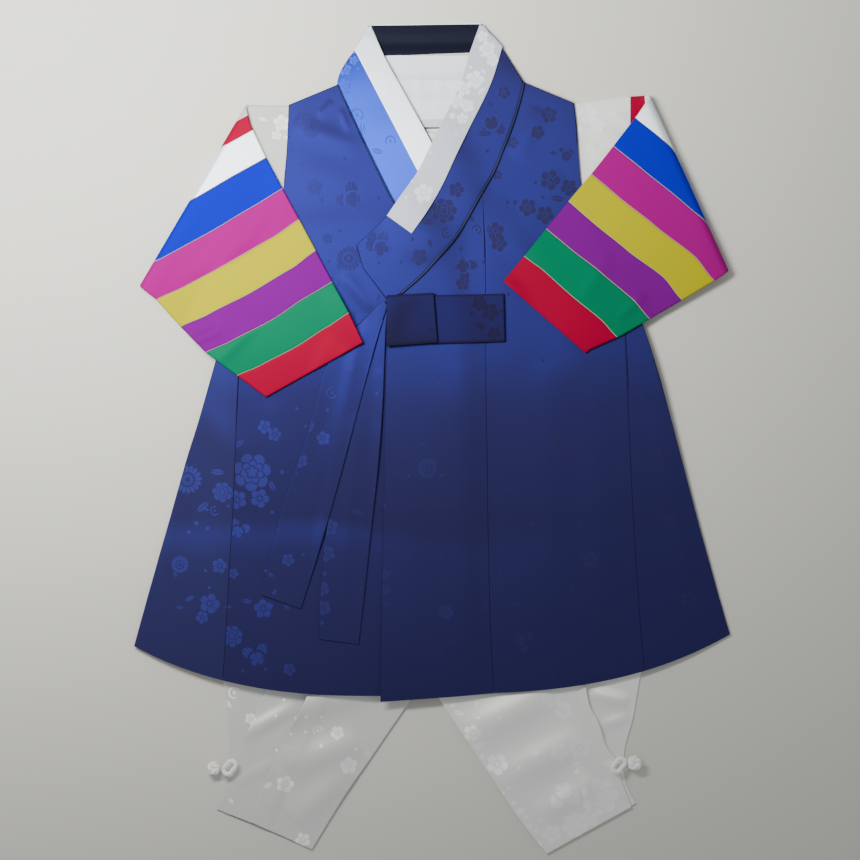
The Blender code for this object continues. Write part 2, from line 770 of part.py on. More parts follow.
def knotted_ball(ankle):
    """A ball button of wound cord, resting on the surface."""
    ball = bmesh.new()
    bmesh.ops.create_icosphere(ball, subdivisions=2, radius=1)
    for vertex in ball.verts:
        x, y, z = vertex.co
        wound = 0.05 * math.cos(5 * math.atan2(y, x)) * math.cos(4 * math.asin(max(-1, min(1, z))))
        vertex.co = vertex.co * (ankle.radius * (0.95 + wound))
    lowest = min(vertex.co.z for vertex in ball.verts)
    for vertex in ball.verts:
        vertex.co.x += ankle.ball_x
        vertex.co.y += ankle.ball_y
        vertex.co.z -= lowest
        vertex.co *= MM
    name = f"{ankle.wearer}_ankle_button"
    mesh = bpy.data.meshes.new(name)
    ball.to_mesh(mesh)
    ball.free()
    mesh.shade_smooth()
    add_object(name, mesh, "ivory_cord")


def cord_loop(pile, ankle):
    """The cord loop round the button's neck, lying on the trouser's edge."""
    reach = LOOP_RADIUS + CORD_RADIUS
    around = np.array([[ankle.loop_x + i, ankle.loop_y + j] for i in np.arange(-reach, reach) for j in np.arange(-reach, reach)])
    height = pile.at(around).max() + GAP + CORD_RADIUS
    line = bpy.data.curves.new(f"{ankle.wearer}_ankle_loop", "CURVE")
    line.dimensions = "3D"
    line.bevel_depth = CORD_RADIUS * MM
    line.bevel_resolution = 1
    path = line.splines.new("POLY")
    turns = 14
    path.points.add(turns - 1)
    path.use_cyclic_u = True
    for i in range(turns):
        angle = 2 * math.pi * i / turns
        x = ankle.loop_x + LOOP_RADIUS * math.cos(angle)
        y = ankle.loop_y + LOOP_RADIUS * math.sin(angle)
        path.points[i].co = (x * MM, y * MM, height * MM, 1)
    add_object(line.name, line, "ivory_cord")


def build_trousers(pile):
    lay(
        pile,
        ("trouser_right_back", strip(RIGHT_LEG_BACK, 6), "ivory_jacquard", WALL),
        ("trouser_left_back", strip(LEFT_LEG_BACK, 6), "ivory_jacquard", WALL),
    )
    lay(pile, ("trouser_right_side", strip(RIGHT_LEG_SIDE, 2), "ivory_jacquard", WALL))
    lay(
        pile,
        ("trouser_right_front", strip(RIGHT_LEG_FRONT, 4), "ivory_jacquard", WALL),
        ("trouser_left_front", strip(LEFT_LEG_FRONT, 5), "ivory_jacquard", WALL),
    )
    low, high = TROUSER_WAIST + GAP, TROUSER_WAIST + WAISTBAND_WIDTH
    band = table(
        "left_x left_y right_x right_y",
        (-WAISTBAND_HALF, high, WAISTBAND_HALF, high),
        (-WAISTBAND_HALF, low, WAISTBAND_HALF, low),
    )
    stations = list(zip(*edges(band, "left", "right")))
    tube_object("trouser_waistband", flat_tube(stations), lambda p: p, "ivory_jacquard")
    _, points = lifted(pile, stations, 2)
    pile.cover(points, np.full(len(points), TUBE))


def build_jacket(pile, sleeves):
    left = np.array([[row.left, row.y] for row in JACKET_BACK], float)
    right = np.array([[row.right, row.y] for row in JACKET_BACK], float)
    lay(pile, ("jacket_back", span(left, right, 6), "white_satin", WALL))
    lay(pile, ("nape_rim", strip(NAPE_RIM, 4), "white_satin", WALL))
    lay(pile, ("nape_band", strip(NAPE_BAND, 4), "navy_satin", WALL))
    lay(pile, ("neck_tab", strip(NECK_TAB, 2), "white_satin", WALL))
    lay(pile, ("jacket_right_front", jacket_front("right"), "ivory_jacquard", WALL))
    lay(pile, ("jacket_left_front", jacket_front("left"), "ivory_jacquard", WALL))
    for sleeve in sleeves:
        sleeve.cover_flat(pile)


def build_coat(pile):
    lay(
        pile,
        ("coat_right_front", right_front(), "blue_damask", WALL),
        ("coat_right_gore", gore("left"), "blue_damask", WALL),
        ("collar_right", strip(UNDER_COLLAR, 2), "blue_damask", WALL),
    )
    lay(pile, ("collar_right_piping", ribbon_line(UNDER_COLLAR, 0.6, 2, None), "navy_satin", PIPING_WALL))
    lay(pile, ("collar_right_strip", strip(UNDER_STRIP, 2), "white_satin", WALL))
    lay(
        pile,
        ("coat_left_front", left_front(), "blue_damask", WALL),
        ("coat_overlap", overlap_panel(), "blue_damask", WALL),
        ("coat_left_gore", gore("right"), "blue_damask", WALL),
        ("collar_left", strip(OVER_COLLAR, 3), "blue_damask", WALL),
    )
    lay(pile, ("collar_left_piping", ribbon_line(OVER_COLLAR, 1.1, 1, 12), "navy_satin", PIPING_WALL))
    lay(pile, ("collar_left_strip", strip(OVER_STRIP, 2), "ivory_jacquard", WALL))


def build_ribbon(pile):
    lay(pile, ("ribbon_tail_under", strip(TAIL_UNDER, 2), "blue_damask", RIBBON_WALL))
    lay(pile, ("ribbon_tail_over", strip(TAIL_OVER, 2), "blue_damask", RIBBON_WALL))
    lay_tube(pile, "ribbon_bow", BOW, "blue_damask")
    lay_tube(pile, "ribbon_knot", BOW_KNOT, "blue_damask")


def centre_on_origin():
    """Moves the set so that the middle of its box, at the surface, is the origin."""
    shown = [piece for piece in bpy.data.objects if piece.type in {"MESH", "CURVE"}]
    bpy.context.view_layer.update()
    corners = np.array([corner[:] for piece in shown for corner in piece.bound_box])
    middle = (corners.min(axis=0) + corners.max(axis=0)) / 2
    for piece in shown:
        piece.location = (-middle[0], -middle[1], 0)


def main():
    for old in list(bpy.data.objects):
        bpy.data.objects.remove(old)
    pile = Pile()
    sleeves = [Sleeve(fold, rows) for fold, rows in zip(FOLDS, (SLEEVE_RIGHT, SLEEVE_LEFT))]
    build_trousers(pile)
    lay(pile, ("coat_back", coat_back(), "blue_damask", WALL))
    build_jacket(pile, sleeves)
    build_coat(pile)
    build_ribbon(pile)
    for ankle in ANKLES:
        knotted_ball(ankle)
        cord_loop(pile, ankle)
    for sleeve in sleeves:
        sleeve.settle(pile)
        sleeve.build()
    centre_on_origin()


main()
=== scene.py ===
"""A small child's hanbok set laid flat on its back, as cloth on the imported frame.

Sizes are millimetres. X runs to the wearer's left, Y towards the neck, and Z up from the surface.
"""

import math
from collections import namedtuple
from itertools import product

import bmesh
import bpy
import numpy as np
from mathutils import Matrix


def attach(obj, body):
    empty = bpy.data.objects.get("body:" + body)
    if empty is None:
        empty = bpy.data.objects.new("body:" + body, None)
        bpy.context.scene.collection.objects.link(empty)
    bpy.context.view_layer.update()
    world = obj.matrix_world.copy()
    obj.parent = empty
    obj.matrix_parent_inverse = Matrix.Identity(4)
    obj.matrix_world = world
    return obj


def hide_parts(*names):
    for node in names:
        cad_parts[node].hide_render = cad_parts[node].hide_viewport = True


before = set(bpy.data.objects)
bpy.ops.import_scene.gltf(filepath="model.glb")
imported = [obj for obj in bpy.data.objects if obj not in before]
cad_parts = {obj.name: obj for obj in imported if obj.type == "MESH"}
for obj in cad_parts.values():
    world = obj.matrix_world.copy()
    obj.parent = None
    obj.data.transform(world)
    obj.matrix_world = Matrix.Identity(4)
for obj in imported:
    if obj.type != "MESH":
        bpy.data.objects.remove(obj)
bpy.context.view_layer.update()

MM = 0.001
WALL = 0.9
RIBBON_WALL = 0.9
PIPING_WALL = 1.5
GAP = 0.25
SLIT = 0.4
TUBE = 2 * WALL + SLIT
MESH_STEP = 3.0
FINE_STEP = 1.5
CUFF_STEP = 2.4
FOLDED_FROM = 5
STRIPE_GAP = 0.03
STRIPE_DIP = 0.12
SLEEVE_ROUND_SAMPLES = 148
EASE_ROUNDS = 110
REST_ROUNDS = 45
SEAM_CLEARANCE = 0.04
RIM = 0.45
RIM_STEPS = ((0.3, 0.14), (0, 0.5), (0.3, 0.86))
LEAST_SHEET_SIDE = 10.5
LEAST_STRIPE_SHEET = 10.2

JACKET_HALF = 105.0
STRIPE = 28.3
FIRST_STRIPES = (158.8, 170.8, 195.1)
STRIPE_NAMES = ("red", "white", "blue", "magenta", "yellow", "purple", "green", "red_cuff")
CUFF_STRIPE = 25.9
COAT_BACK_HALF = 112.0
SLEEVE_DROP_END = 126.0
FOLD_FALL = 0.05


def table(columns, *rows):
    """A short table whose rows are read by the names of its columns."""
    row = namedtuple("Row", columns)
    return [row(*values) for values in rows]


def tables(columns, **named):
    """Short tables with the same columns, by name."""
    return {name: table(columns, *rows) for name, rows in named.items()}


# The coat from shoulder to hem. dip is how far the row sags at the centre line.
COAT = table(
    "left left_y right right_y gore_left gore_right seam lap dip",
    (-115.2, 267.2, 113.4, 268.6, 0, 0, 0, 0, 0),
    (-115.9, 250, 115.5, 250, 0, 0, 0, 0, 0),
    (-116.9, 230, 116.8, 230, 0, 0, 0, 0, 0),
    (-118.6, 211, 118.3, 211, 0, 0, 0, 0, 0),
    (-120.5, 190, 120.5, 190, 0, 0, 0, 0, 0),
    (-126, 165, 126, 165, 0, 0, 0, 0, 0),
    (-136, 147, 136, 147, 0, 0, 42.4, 0, 0),
    (-152.8, 135, 152.8, 135, -150.6, 150.6, 42.6, 0, 0),
    (-161.5, 105, 163.3, 105, -153.2, 153.4, 42.8, -36.8, 0),
    (-169.8, 75, 173.8, 75, -154, 154.5, 42.8, -36, 0),
    (-178.3, 45, 183, 45, -155, 155.8, 42.8, -36.7, 3),
    (-186.9, 15, 191.3, 15, -156.5, 157.2, 43.3, -37.5, 7),
    (-196.5, -15, 199.3, -15, -158, 158.8, 44, -38.2, 12),
    (-205.1, -45, 207.3, -45, -159.5, 160.6, 44.4, -38.8, 18),
    (-213.6, -75, 215.3, -75, -161.5, 162.6, 45.2, -39.4, 24),
    (-222, -105, 223.7, -105, -163.3, 164.9, 46, -40, 30),
    (-231, -137, 232.2, -135, -165.3, 167.2, 47.3, -40.7, 36),
    (-239.1, -166.4, 238.6, -157.2, -167.4, 170, 49.1, -41.6, 43),
)
COAT_NECK = ((-75.4, 282.6), (72.6, 284.8))
ARMPIT = 7
HEM_DIP_POWER = 3
LAP_DROOP = 4.6
COAT_PER_ROW = 10

UNDER_COLLAR = table(
    "inner_x inner_y outer_x outer_y",
    (-53.2, 318.8, -62.4, 311.2),
    (-45.2, 314, -68.7, 302.8),
    (-36, 301.2, -76.4, 283.4),
    (-26, 283.6, -68.4, 266),
    (-15, 262.8, -56.5, 240.6),
    (-3, 242.8, -44.4, 215.6),
    (6, 222.8, -32, 190.8),
    (17, 203.6, -21.2, 172.4),
    (26, 186, -10, 154),
)
UNDER_EDGE = (0, 10, 16, 18, 19, 20, 20, 20, 20, 20, 20)

OVER_COLLAR = table(
    "inner_x inner_y outer_x outer_y",
    (46, 318, 56.4, 312.8),
    (36, 306, 73.1, 285.5),
    (30, 292, 69, 268.5),
    (22, 276, 62.5, 248),
    (13, 258, 55.8, 230.8),
    (4, 242, 48.2, 212.4),
    (-4.5, 224, 39.9, 198.2),
    (-13.5, 207, 28.7, 177.8),
    (-26, 189.5, 17.5, 159.4),
    (-37.5, 177, 3.2, 143),
    (-49, 165.5, -9, 130),
    (-61.3, 154.4, -25.4, 115.6),
    (-55.6, 136, -36.8, 110.8),
)
OVER_KNOTS = (1, 6, 12)

UNDER_STRIP = table(
    "inner_x inner_y outer_x outer_y",
    (-49.4, 331.6, -52.8, 329.2),
    (-44.4, 319.6, -62.6, 311.6),
    (-38.8, 306.8, -56.1, 299),
    (-24.9, 281.4, -43.6, 274.8),
    (-6.5, 247.8, -25.2, 239.2),
    (0.2, 235.6, -18, 225.2),
    (11.6, 214.8, -7, 204.4),
)
OVER_STRIP = table(
    "inner_x inner_y outer_x outer_y",
    (37.8, 332.2, 41, 331.2),
    (30, 310, 56.2, 314),
    (24.2, 289.6, 48.6, 288.6),
    (7.8, 252.9, 28.4, 245.7),
    (-2, 233.2, 18, 224),
    (-11.6, 214, 8, 202.4),
    (-24.4, 195.6, -4.4, 180.8),
    (-36.6, 177.8, -16.6, 163.3),
)
NAPE_BAND = table(
    "inner_x inner_y outer_x outer_y",
    (-52, 331.2, 40, 332.4),
    (-48, 320, 42, 321.5),
    (-44, 306.8, 44, 310),
)
NAPE_RIM = table(
    "inner_x inner_y outer_x outer_y",
    (-51, 332.6, 39.4, 333.9),
    (-51, 326, 41.5, 327),
)
NECK_TAB = table(
    "inner_x inner_y outer_x outer_y",
    (-8.4, 255.8, 10, 256.2),
    (-8.4, 248, 10, 248.4),
)

JACKET_BACK = table(
    "inner_x inner_y outer_x outer_y",
    (-46, 308, 38, 308),
    (-58, 292, 52, 292),
    (-76, 281, 74, 281),
    (-JACKET_HALF, 266, JACKET_HALF, 266),
    (-JACKET_HALF, 232, JACKET_HALF, 232),
    (-JACKET_HALF, 190, JACKET_HALF, 190),
    (-JACKET_HALF, 140, JACKET_HALF, 140),
    (-116, 118, 116, 118),
    (-122, 84, 122, 84),
    (-127, 50, 127, 50),
)
JACKET_RIGHT_FRONT = table(
    "inner_x inner_y outer_x outer_y",
    (-34, 280, -JACKET_HALF, 266),
    (-22, 256, -JACKET_HALF, 256),
    (-16, 246, -JACKET_HALF, 246),
    (-5, 222, -JACKET_HALF, 222),
    (14, 186, -JACKET_HALF, 186),
    (32, 140, -JACKET_HALF, 140),
    (38, 118, -115, 118),
    (40, 84, -121, 84),
    (40, 50, -126, 50),
)
JACKET_LEFT_FRONT = table(
    "inner_x inner_y outer_x outer_y",
    (31, 280, JACKET_HALF, 266),
    (17, 256, JACKET_HALF, 256),
    (13, 247.4, JACKET_HALF, 247.4),
    (-9, 246.6, JACKET_HALF, 246.6),
    (-15, 222, JACKET_HALF, 222),
    (-25, 186, JACKET_HALF, 186),
    (-35, 140, JACKET_HALF, 140),
    (-38, 118, 115, 118),
    (-40, 84, 121, 84),
    (-40, 50, 126, 50),
)

SLEEVE_RIGHT = table(
    "out top bottom",
    (JACKET_HALF, 266.6, 147),
    (149, 267.6, 143.8),
    (166, 263.4, 140),
    (195, 261.4, 133),
    (232, 260.6, 121),
    (251.8, 260.4, 129.2),
    (280, 259.9, 135.4),
    (308, 259.3, 143.2),
    (336.3, 258.8, 156),
    (362.5, 257, 168),
)
SLEEVE_LEFT = table(
    "out top bottom",
    (JACKET_HALF, 267.6, 147),
    (152, 274, 144),
    (173, 275.2, 141),
    (195, 272.6, 138),
    (236, 270.2, 134.2),
    (252, 269.5, 138.5),
    (280, 268.9, 147.5),
    (308, 268, 156.8),
    (336.3, 266.8, 166.4),
    (362.5, 266, 178.6),
)
FOLDS = table(
    "side wearer x y low_x low_y inner_radius take_up",
    (-1, "right", -149.2, 268, -233.2, 125, 1.3, 0.3),
    (1, "left", 173, 275.3, 237.2, 134.1, 3.6, 3.0),
)

# How far the stripes wander towards the cuff: where along the sleeve, and at three places from top to bottom.
SWAY_RIGHT = table(
    "out at_fifth at_half at_most",
    (171, 0, 0, 0),
    (195, 0, 0.8, -2),
    (224, 0.8, 2, 1.8),
    (252, 2.2, 2.6, 1.8),
    (280, 3, 4, 2.4),
    (309, 0.4, 3, 2),
    (337, 1.2, 3, 2),
    (363, 0, 0, 0),
)
SWAY_LEFT = table(
    "out at_fifth at_half at_most",
    (171, 0, 0, 0),
    (198, -1, 0, -0.5),
    (226, -1, -2.4, -2.8),
    (255, -0.3, -2, -4.3),
    (283, 0, -1.2, -3.9),
    (311, -0.5, -2.2, -2.8),
    (340, -1.5, -1, -2),
    (365, 0, 0, 0),
)

TROUSER_WAIST = 40.4
WAISTBAND_WIDTH = 22.0
WAISTBAND_HALF = 108.0
RIGHT_LEG_BACK = table(
    "outer_x outer_y inner_x inner_y",
    (-112.4, TROUSER_WAIST, 0, TROUSER_WAIST),
    (-136.4, -49.2, -1, -49.2),
    (-160.4, -145.2, -3, -145.2),
    (-168.4, -192.4, -4.4, -188),
    (-164.9, -213.6, -20.4, -213.6),
    (-162.8, -247.6, -43.6, -247.6),
    (-162.4, -272.4, -67.6, -282),
    (-168.4, -287.6, -84.4, -309.4),
    (-173.1, -298, -96.8, -329.8),
)
RIGHT_LEG_SIDE = table(
    "outer_x outer_y inner_x inner_y",
    (-106, TROUSER_WAIST, -74, TROUSER_WAIST),
    (-118.8, -97.2, -83, -97.2),
    (-134.4, -202.4, -92, -208),
    (-148.4, -234.8, -106, -238),
    (-154.3, -247.6, -115, -255),
    (-159, -266.4, -123, -272),
    (-163.7, -280.4, -131, -292),
    (-167.4, -300, -138, -311.2),
)
RIGHT_LEG_FRONT = table(
    "outer_x outer_y inner_x inner_y",
    (-82, TROUSER_WAIST, 0, TROUSER_WAIST),
    (-91.6, -97.2, -2, -97.2),
    (-98, -180, -4.4, -188),
    (-100.9, -206.6, -18.8, -211.2),
    (-115.6, -235.8, -38, -239.5),
    (-123.8, -252.3, -52, -260),
    (-131.6, -269.2, -68, -282.8),
    (-139.6, -289.2, -84, -308.5),
    (-146.1, -307.4, -96.8, -329.8),
)
LEFT_LEG_BACK = table(
    "outer_x outer_y inner_x inner_y",
    (112.4, TROUSER_WAIST, 0, TROUSER_WAIST),
    (136.4, -49.2, -1, -49.2),
    (158, -145, -3, -145.2),
    (167.6, -186.6, -4.4, -188),
    (164.4, -205.2, 5.6, -208.9),
    (161.1, -224.2, 21.4, -233.5),
    (154.1, -251.1, 42.6, -265.2),
    (153.2, -263.6, 56.4, -286),
    (155.6, -277.2, 70, -306),
    (163.4, -293.2, 91.8, -333.3),
)
LEFT_LEG_FRONT = table(
    "outer_x outer_y inner_x inner_y",
    (100, TROUSER_WAIST, 0, TROUSER_WAIST),
    (112, -97, -2, -97.2),
    (121, -175, -4.4, -188),
    (122.4, -194.8, 5.6, -208.9),
    (125.9, -213.6, 16, -225),
    (133, -227.6, 28, -243.3),
    (140, -247.6, 42.6, -265.2),
    (147, -258, 56.4, -286),
    (150.6, -271, 70, -306),
    (159.6, -295.6, 91.8, -333.3),
)

TAIL_OVER = table(
    "outer_x outer_y inner_x inner_y",
    (-39, 110.5, -35.5, 107),
    (-59.6, 90.8, -39.6, 93.2),
    (-73.2, 76.4, -45.2, 74.8),
    (-84.4, 58, -50, 57.2),
    (-93.2, 27.5, -58, 27.2),
    (-102, -3, -66, -2.8),
    (-118.5, -50.8, -79.1, -50.8),
    (-129.2, -93.2, -91.4, -93.2),
    (-136.8, -124.8, -104.8, -136),
)
TAIL_UNDER = table(
    "outer_x outer_y inner_x inner_y",
    (-39, 107, -35.8, 107),
    (-53.2, 78.8, -37.5, 78.8),
    (-64.4, 30.8, -39.4, 30.8),
    (-76.4, -25.2, -43.6, -25.2),
    (-83.6, -65.2, -48, -65.2),
    (-89.6, -129.2, -54.8, -129.2),
    (-90, -160, -58.8, -164.2),
)
BOW = table("left_x left_y right_x right_y", (-35.6, 113.2, 57.2, 115.6), (-35.9, 74, 58, 77.2))
BOW_KNOT = table("left_x left_y right_x right_y", (-36.6, 113.8, 1.2, 116), (-36.9, 73.2, 4.4, 76.2))
ANKLES = table(
    "wearer ball_x ball_y radius loop_x loop_y",
    ("right", -174.7, -263.6, 5.8, -162.1, -262.8),
    ("left", 161.8, -259.4, 6.2, 148.9, -261),
)

KNOT_CORD = 1.75
LOOP_CORD = 1.85
LOOP_SLANT = math.radians(40)
CORD_SIDES = 10

# How far apart things are packed or strewn in the woven figures.
KIND_STEP = 100.0
SPRIG_SPACING = 13
THREAD_STRETCH = (0.35, 2.2, 1)

# How high the slow waves of each cloth are, and how much the bow swells.
LEG_WAVES = 0.6
COAT_WAVES = 1.5
SLEEVE_WAVES = 0.5
BOW_BULGE = 0.2
EASE_SLOPE = 0.035

# Cloth colours. The bow's, the gore's and the collar's stand in for the way that each lies to the light.
NAVY = (0.021, 0.0185, 0.051)
GORE_NAVY = (0.024, 0.0225, 0.062)
BOW_NAVY = (0.0145, 0.0115, 0.03)
KNOT_NAVY = (0.0135, 0.011, 0.025)
COLLAR_BLUE = (0.024, 0.056, 0.38)
BLUE_LUSTRE = (0.038, 0.064, 0.76)
WOVEN_STRIP = (0.6, 0.62, 0.64)
# The level, in metres, below which the woven strip is painted dark grey: a painted shadow line along its foot.
STRIP_SHADOW_TOP = 0.2496
SATINS = {
    "red": (0.29, 0.001, 0.026),
    "blue": (0.001, 0.003, 0.38),
    "magenta": (0.28, 0.001, 0.155),
    "yellow": (0.4, 0.365, 0.001),
    "purple": (0.14, 0.001, 0.17),
    "green": (0.001, 0.14, 0.064),
}

# Ground and figure colours of the sleeves' tops, which stand in for the shade of folds that they don't have.
SLEEVE_TOPS = {
    "right": ((0.47, 0.47, 0.44), (0.85, 0.85, 0.83)),
    "left": ((0.8, 0.8, 0.75), (0.97, 0.97, 0.95)),
}

# The surface, the light and the camera, in metres.
FLOOR_HALF = 1.6
FLOOR_LEVEL = -0.0003
KEY_LIGHT = {"place": (-0.32, 0.27, 0.66), "target": (-0.4, 0.7, 0), "size": 0.4, "power": 15.1}
SKY_COLOUR = (0.9, 0.93, 1, 1)
SKY_STRENGTH = 0.45
CAMERA_PLACE = (-0.002, 0.0068, 1.7)
CAMERA_FILM = 36
PHOTO_WIDTH = 0.688
CLOTH_LEVEL = 0.006

# Soft ridges and troughs: from one point to another, how high and how wide.
CREASES = tables(
    "x y to_x to_y height width",
    jacket_back=(
        (-36, 287.5, 30, 286.5, 0.5, 2.6),
        (-30, 273, 24, 272, 0.5, 2.4),
        (-12, 300, -9, 262, 0.45, 3),
        (6, 301, 5, 258, 0.4, 3.4),
        (20, 296, 17, 268, 0.3, 3),
    ),
    coat_right=(
        (-112, 252, -58, 232, 0.9, 8),
        (-91, 257, -80, 270, 0.5, 2.6),
        (-74, 264, -67, 246, 0.5, 3),
        (-112, 214, -60, 205, 0.5, 14),
        (-71, 132, -49, 103, 1.0, 5),
        (-196, 30, -150, -20, 0.9, 14),
        (-160, 90, -175, -150, 0.8, 10),
        (-196, 10, -222, -150, 0.8, 10),
        (-130, 30, -110, -190, 0.7, 14),
        (-64, 40, -58, -180, 0.6, 12),
    ),
    coat_left=(
        (86, 264, 68, 224, 0.8, 8),
        (108, 205, 70, 180, 0.6, 14),
        (60, 160, 100, 120, 0.8, 10),
        (20, 60, 26, -170, 0.7, 12),
        (88, 60, 98, -150, 0.8, 14),
        (128, 40, 138, -160, 0.8, 12),
        (176, 20, 208, -130, 0.8, 9),
    ),
    right_leg=(
        (-140, -226, -50, -196, 6.0, 14),
        (-118, -264, -58, -242, 4.2, 13),
        (-112, -308, -66, -264, 3.0, 10),
        (-126, -296, -116, -246, 0.8, 4),
    ),
    right_leg_side=(
        (-158, -277, -126, -258, 1.0, 5),
        (-154, -240, -110, -214, 2.8, 6),
    ),
    left_leg=(
        (122, -195, 152, -262, 2.8, 5),
        (115, -260, 130, -299, 1.8, 4),
        (20, -240, 96, -202, 5.6, 14),
        (50, -276, 122, -238, 4.6, 13),
        (82, -304, 132, -274, 3.4, 10),
    ),
    left_leg_back=(
        (126, -204, 158, -212, 3.0, 6),
        (134, -232, 158, -222, 1.6, 5),
    ),
    sleeve_tops=(
        (116, 250, 158, 238, 0.8, 4),
        (124, 238, 150, 212, 0.7, 4),
        (142, 262, 168, 246, 0.6, 4),
        (-122, 262, -130, 232, 0.7, 4),
    ),
    sleeves=(
        (-206, 70, -168, 88, 0.8, 4),
        (-176, 56, -140, 92, 0.7, 5),
        (-196, 130, -150, 170, 0.6, 8),
        (148, 96, 172, 118, 0.8, 4),
        (120, 110, 140, 146, 0.7, 6),
        (190, 130, 176, 176, 0.6, 7),
    ),
    tails=(
        (-58, 88, -98, -60, 0.5, 5),
        (-60, 20, -74, -150, 0.5, 5),
    ),
)

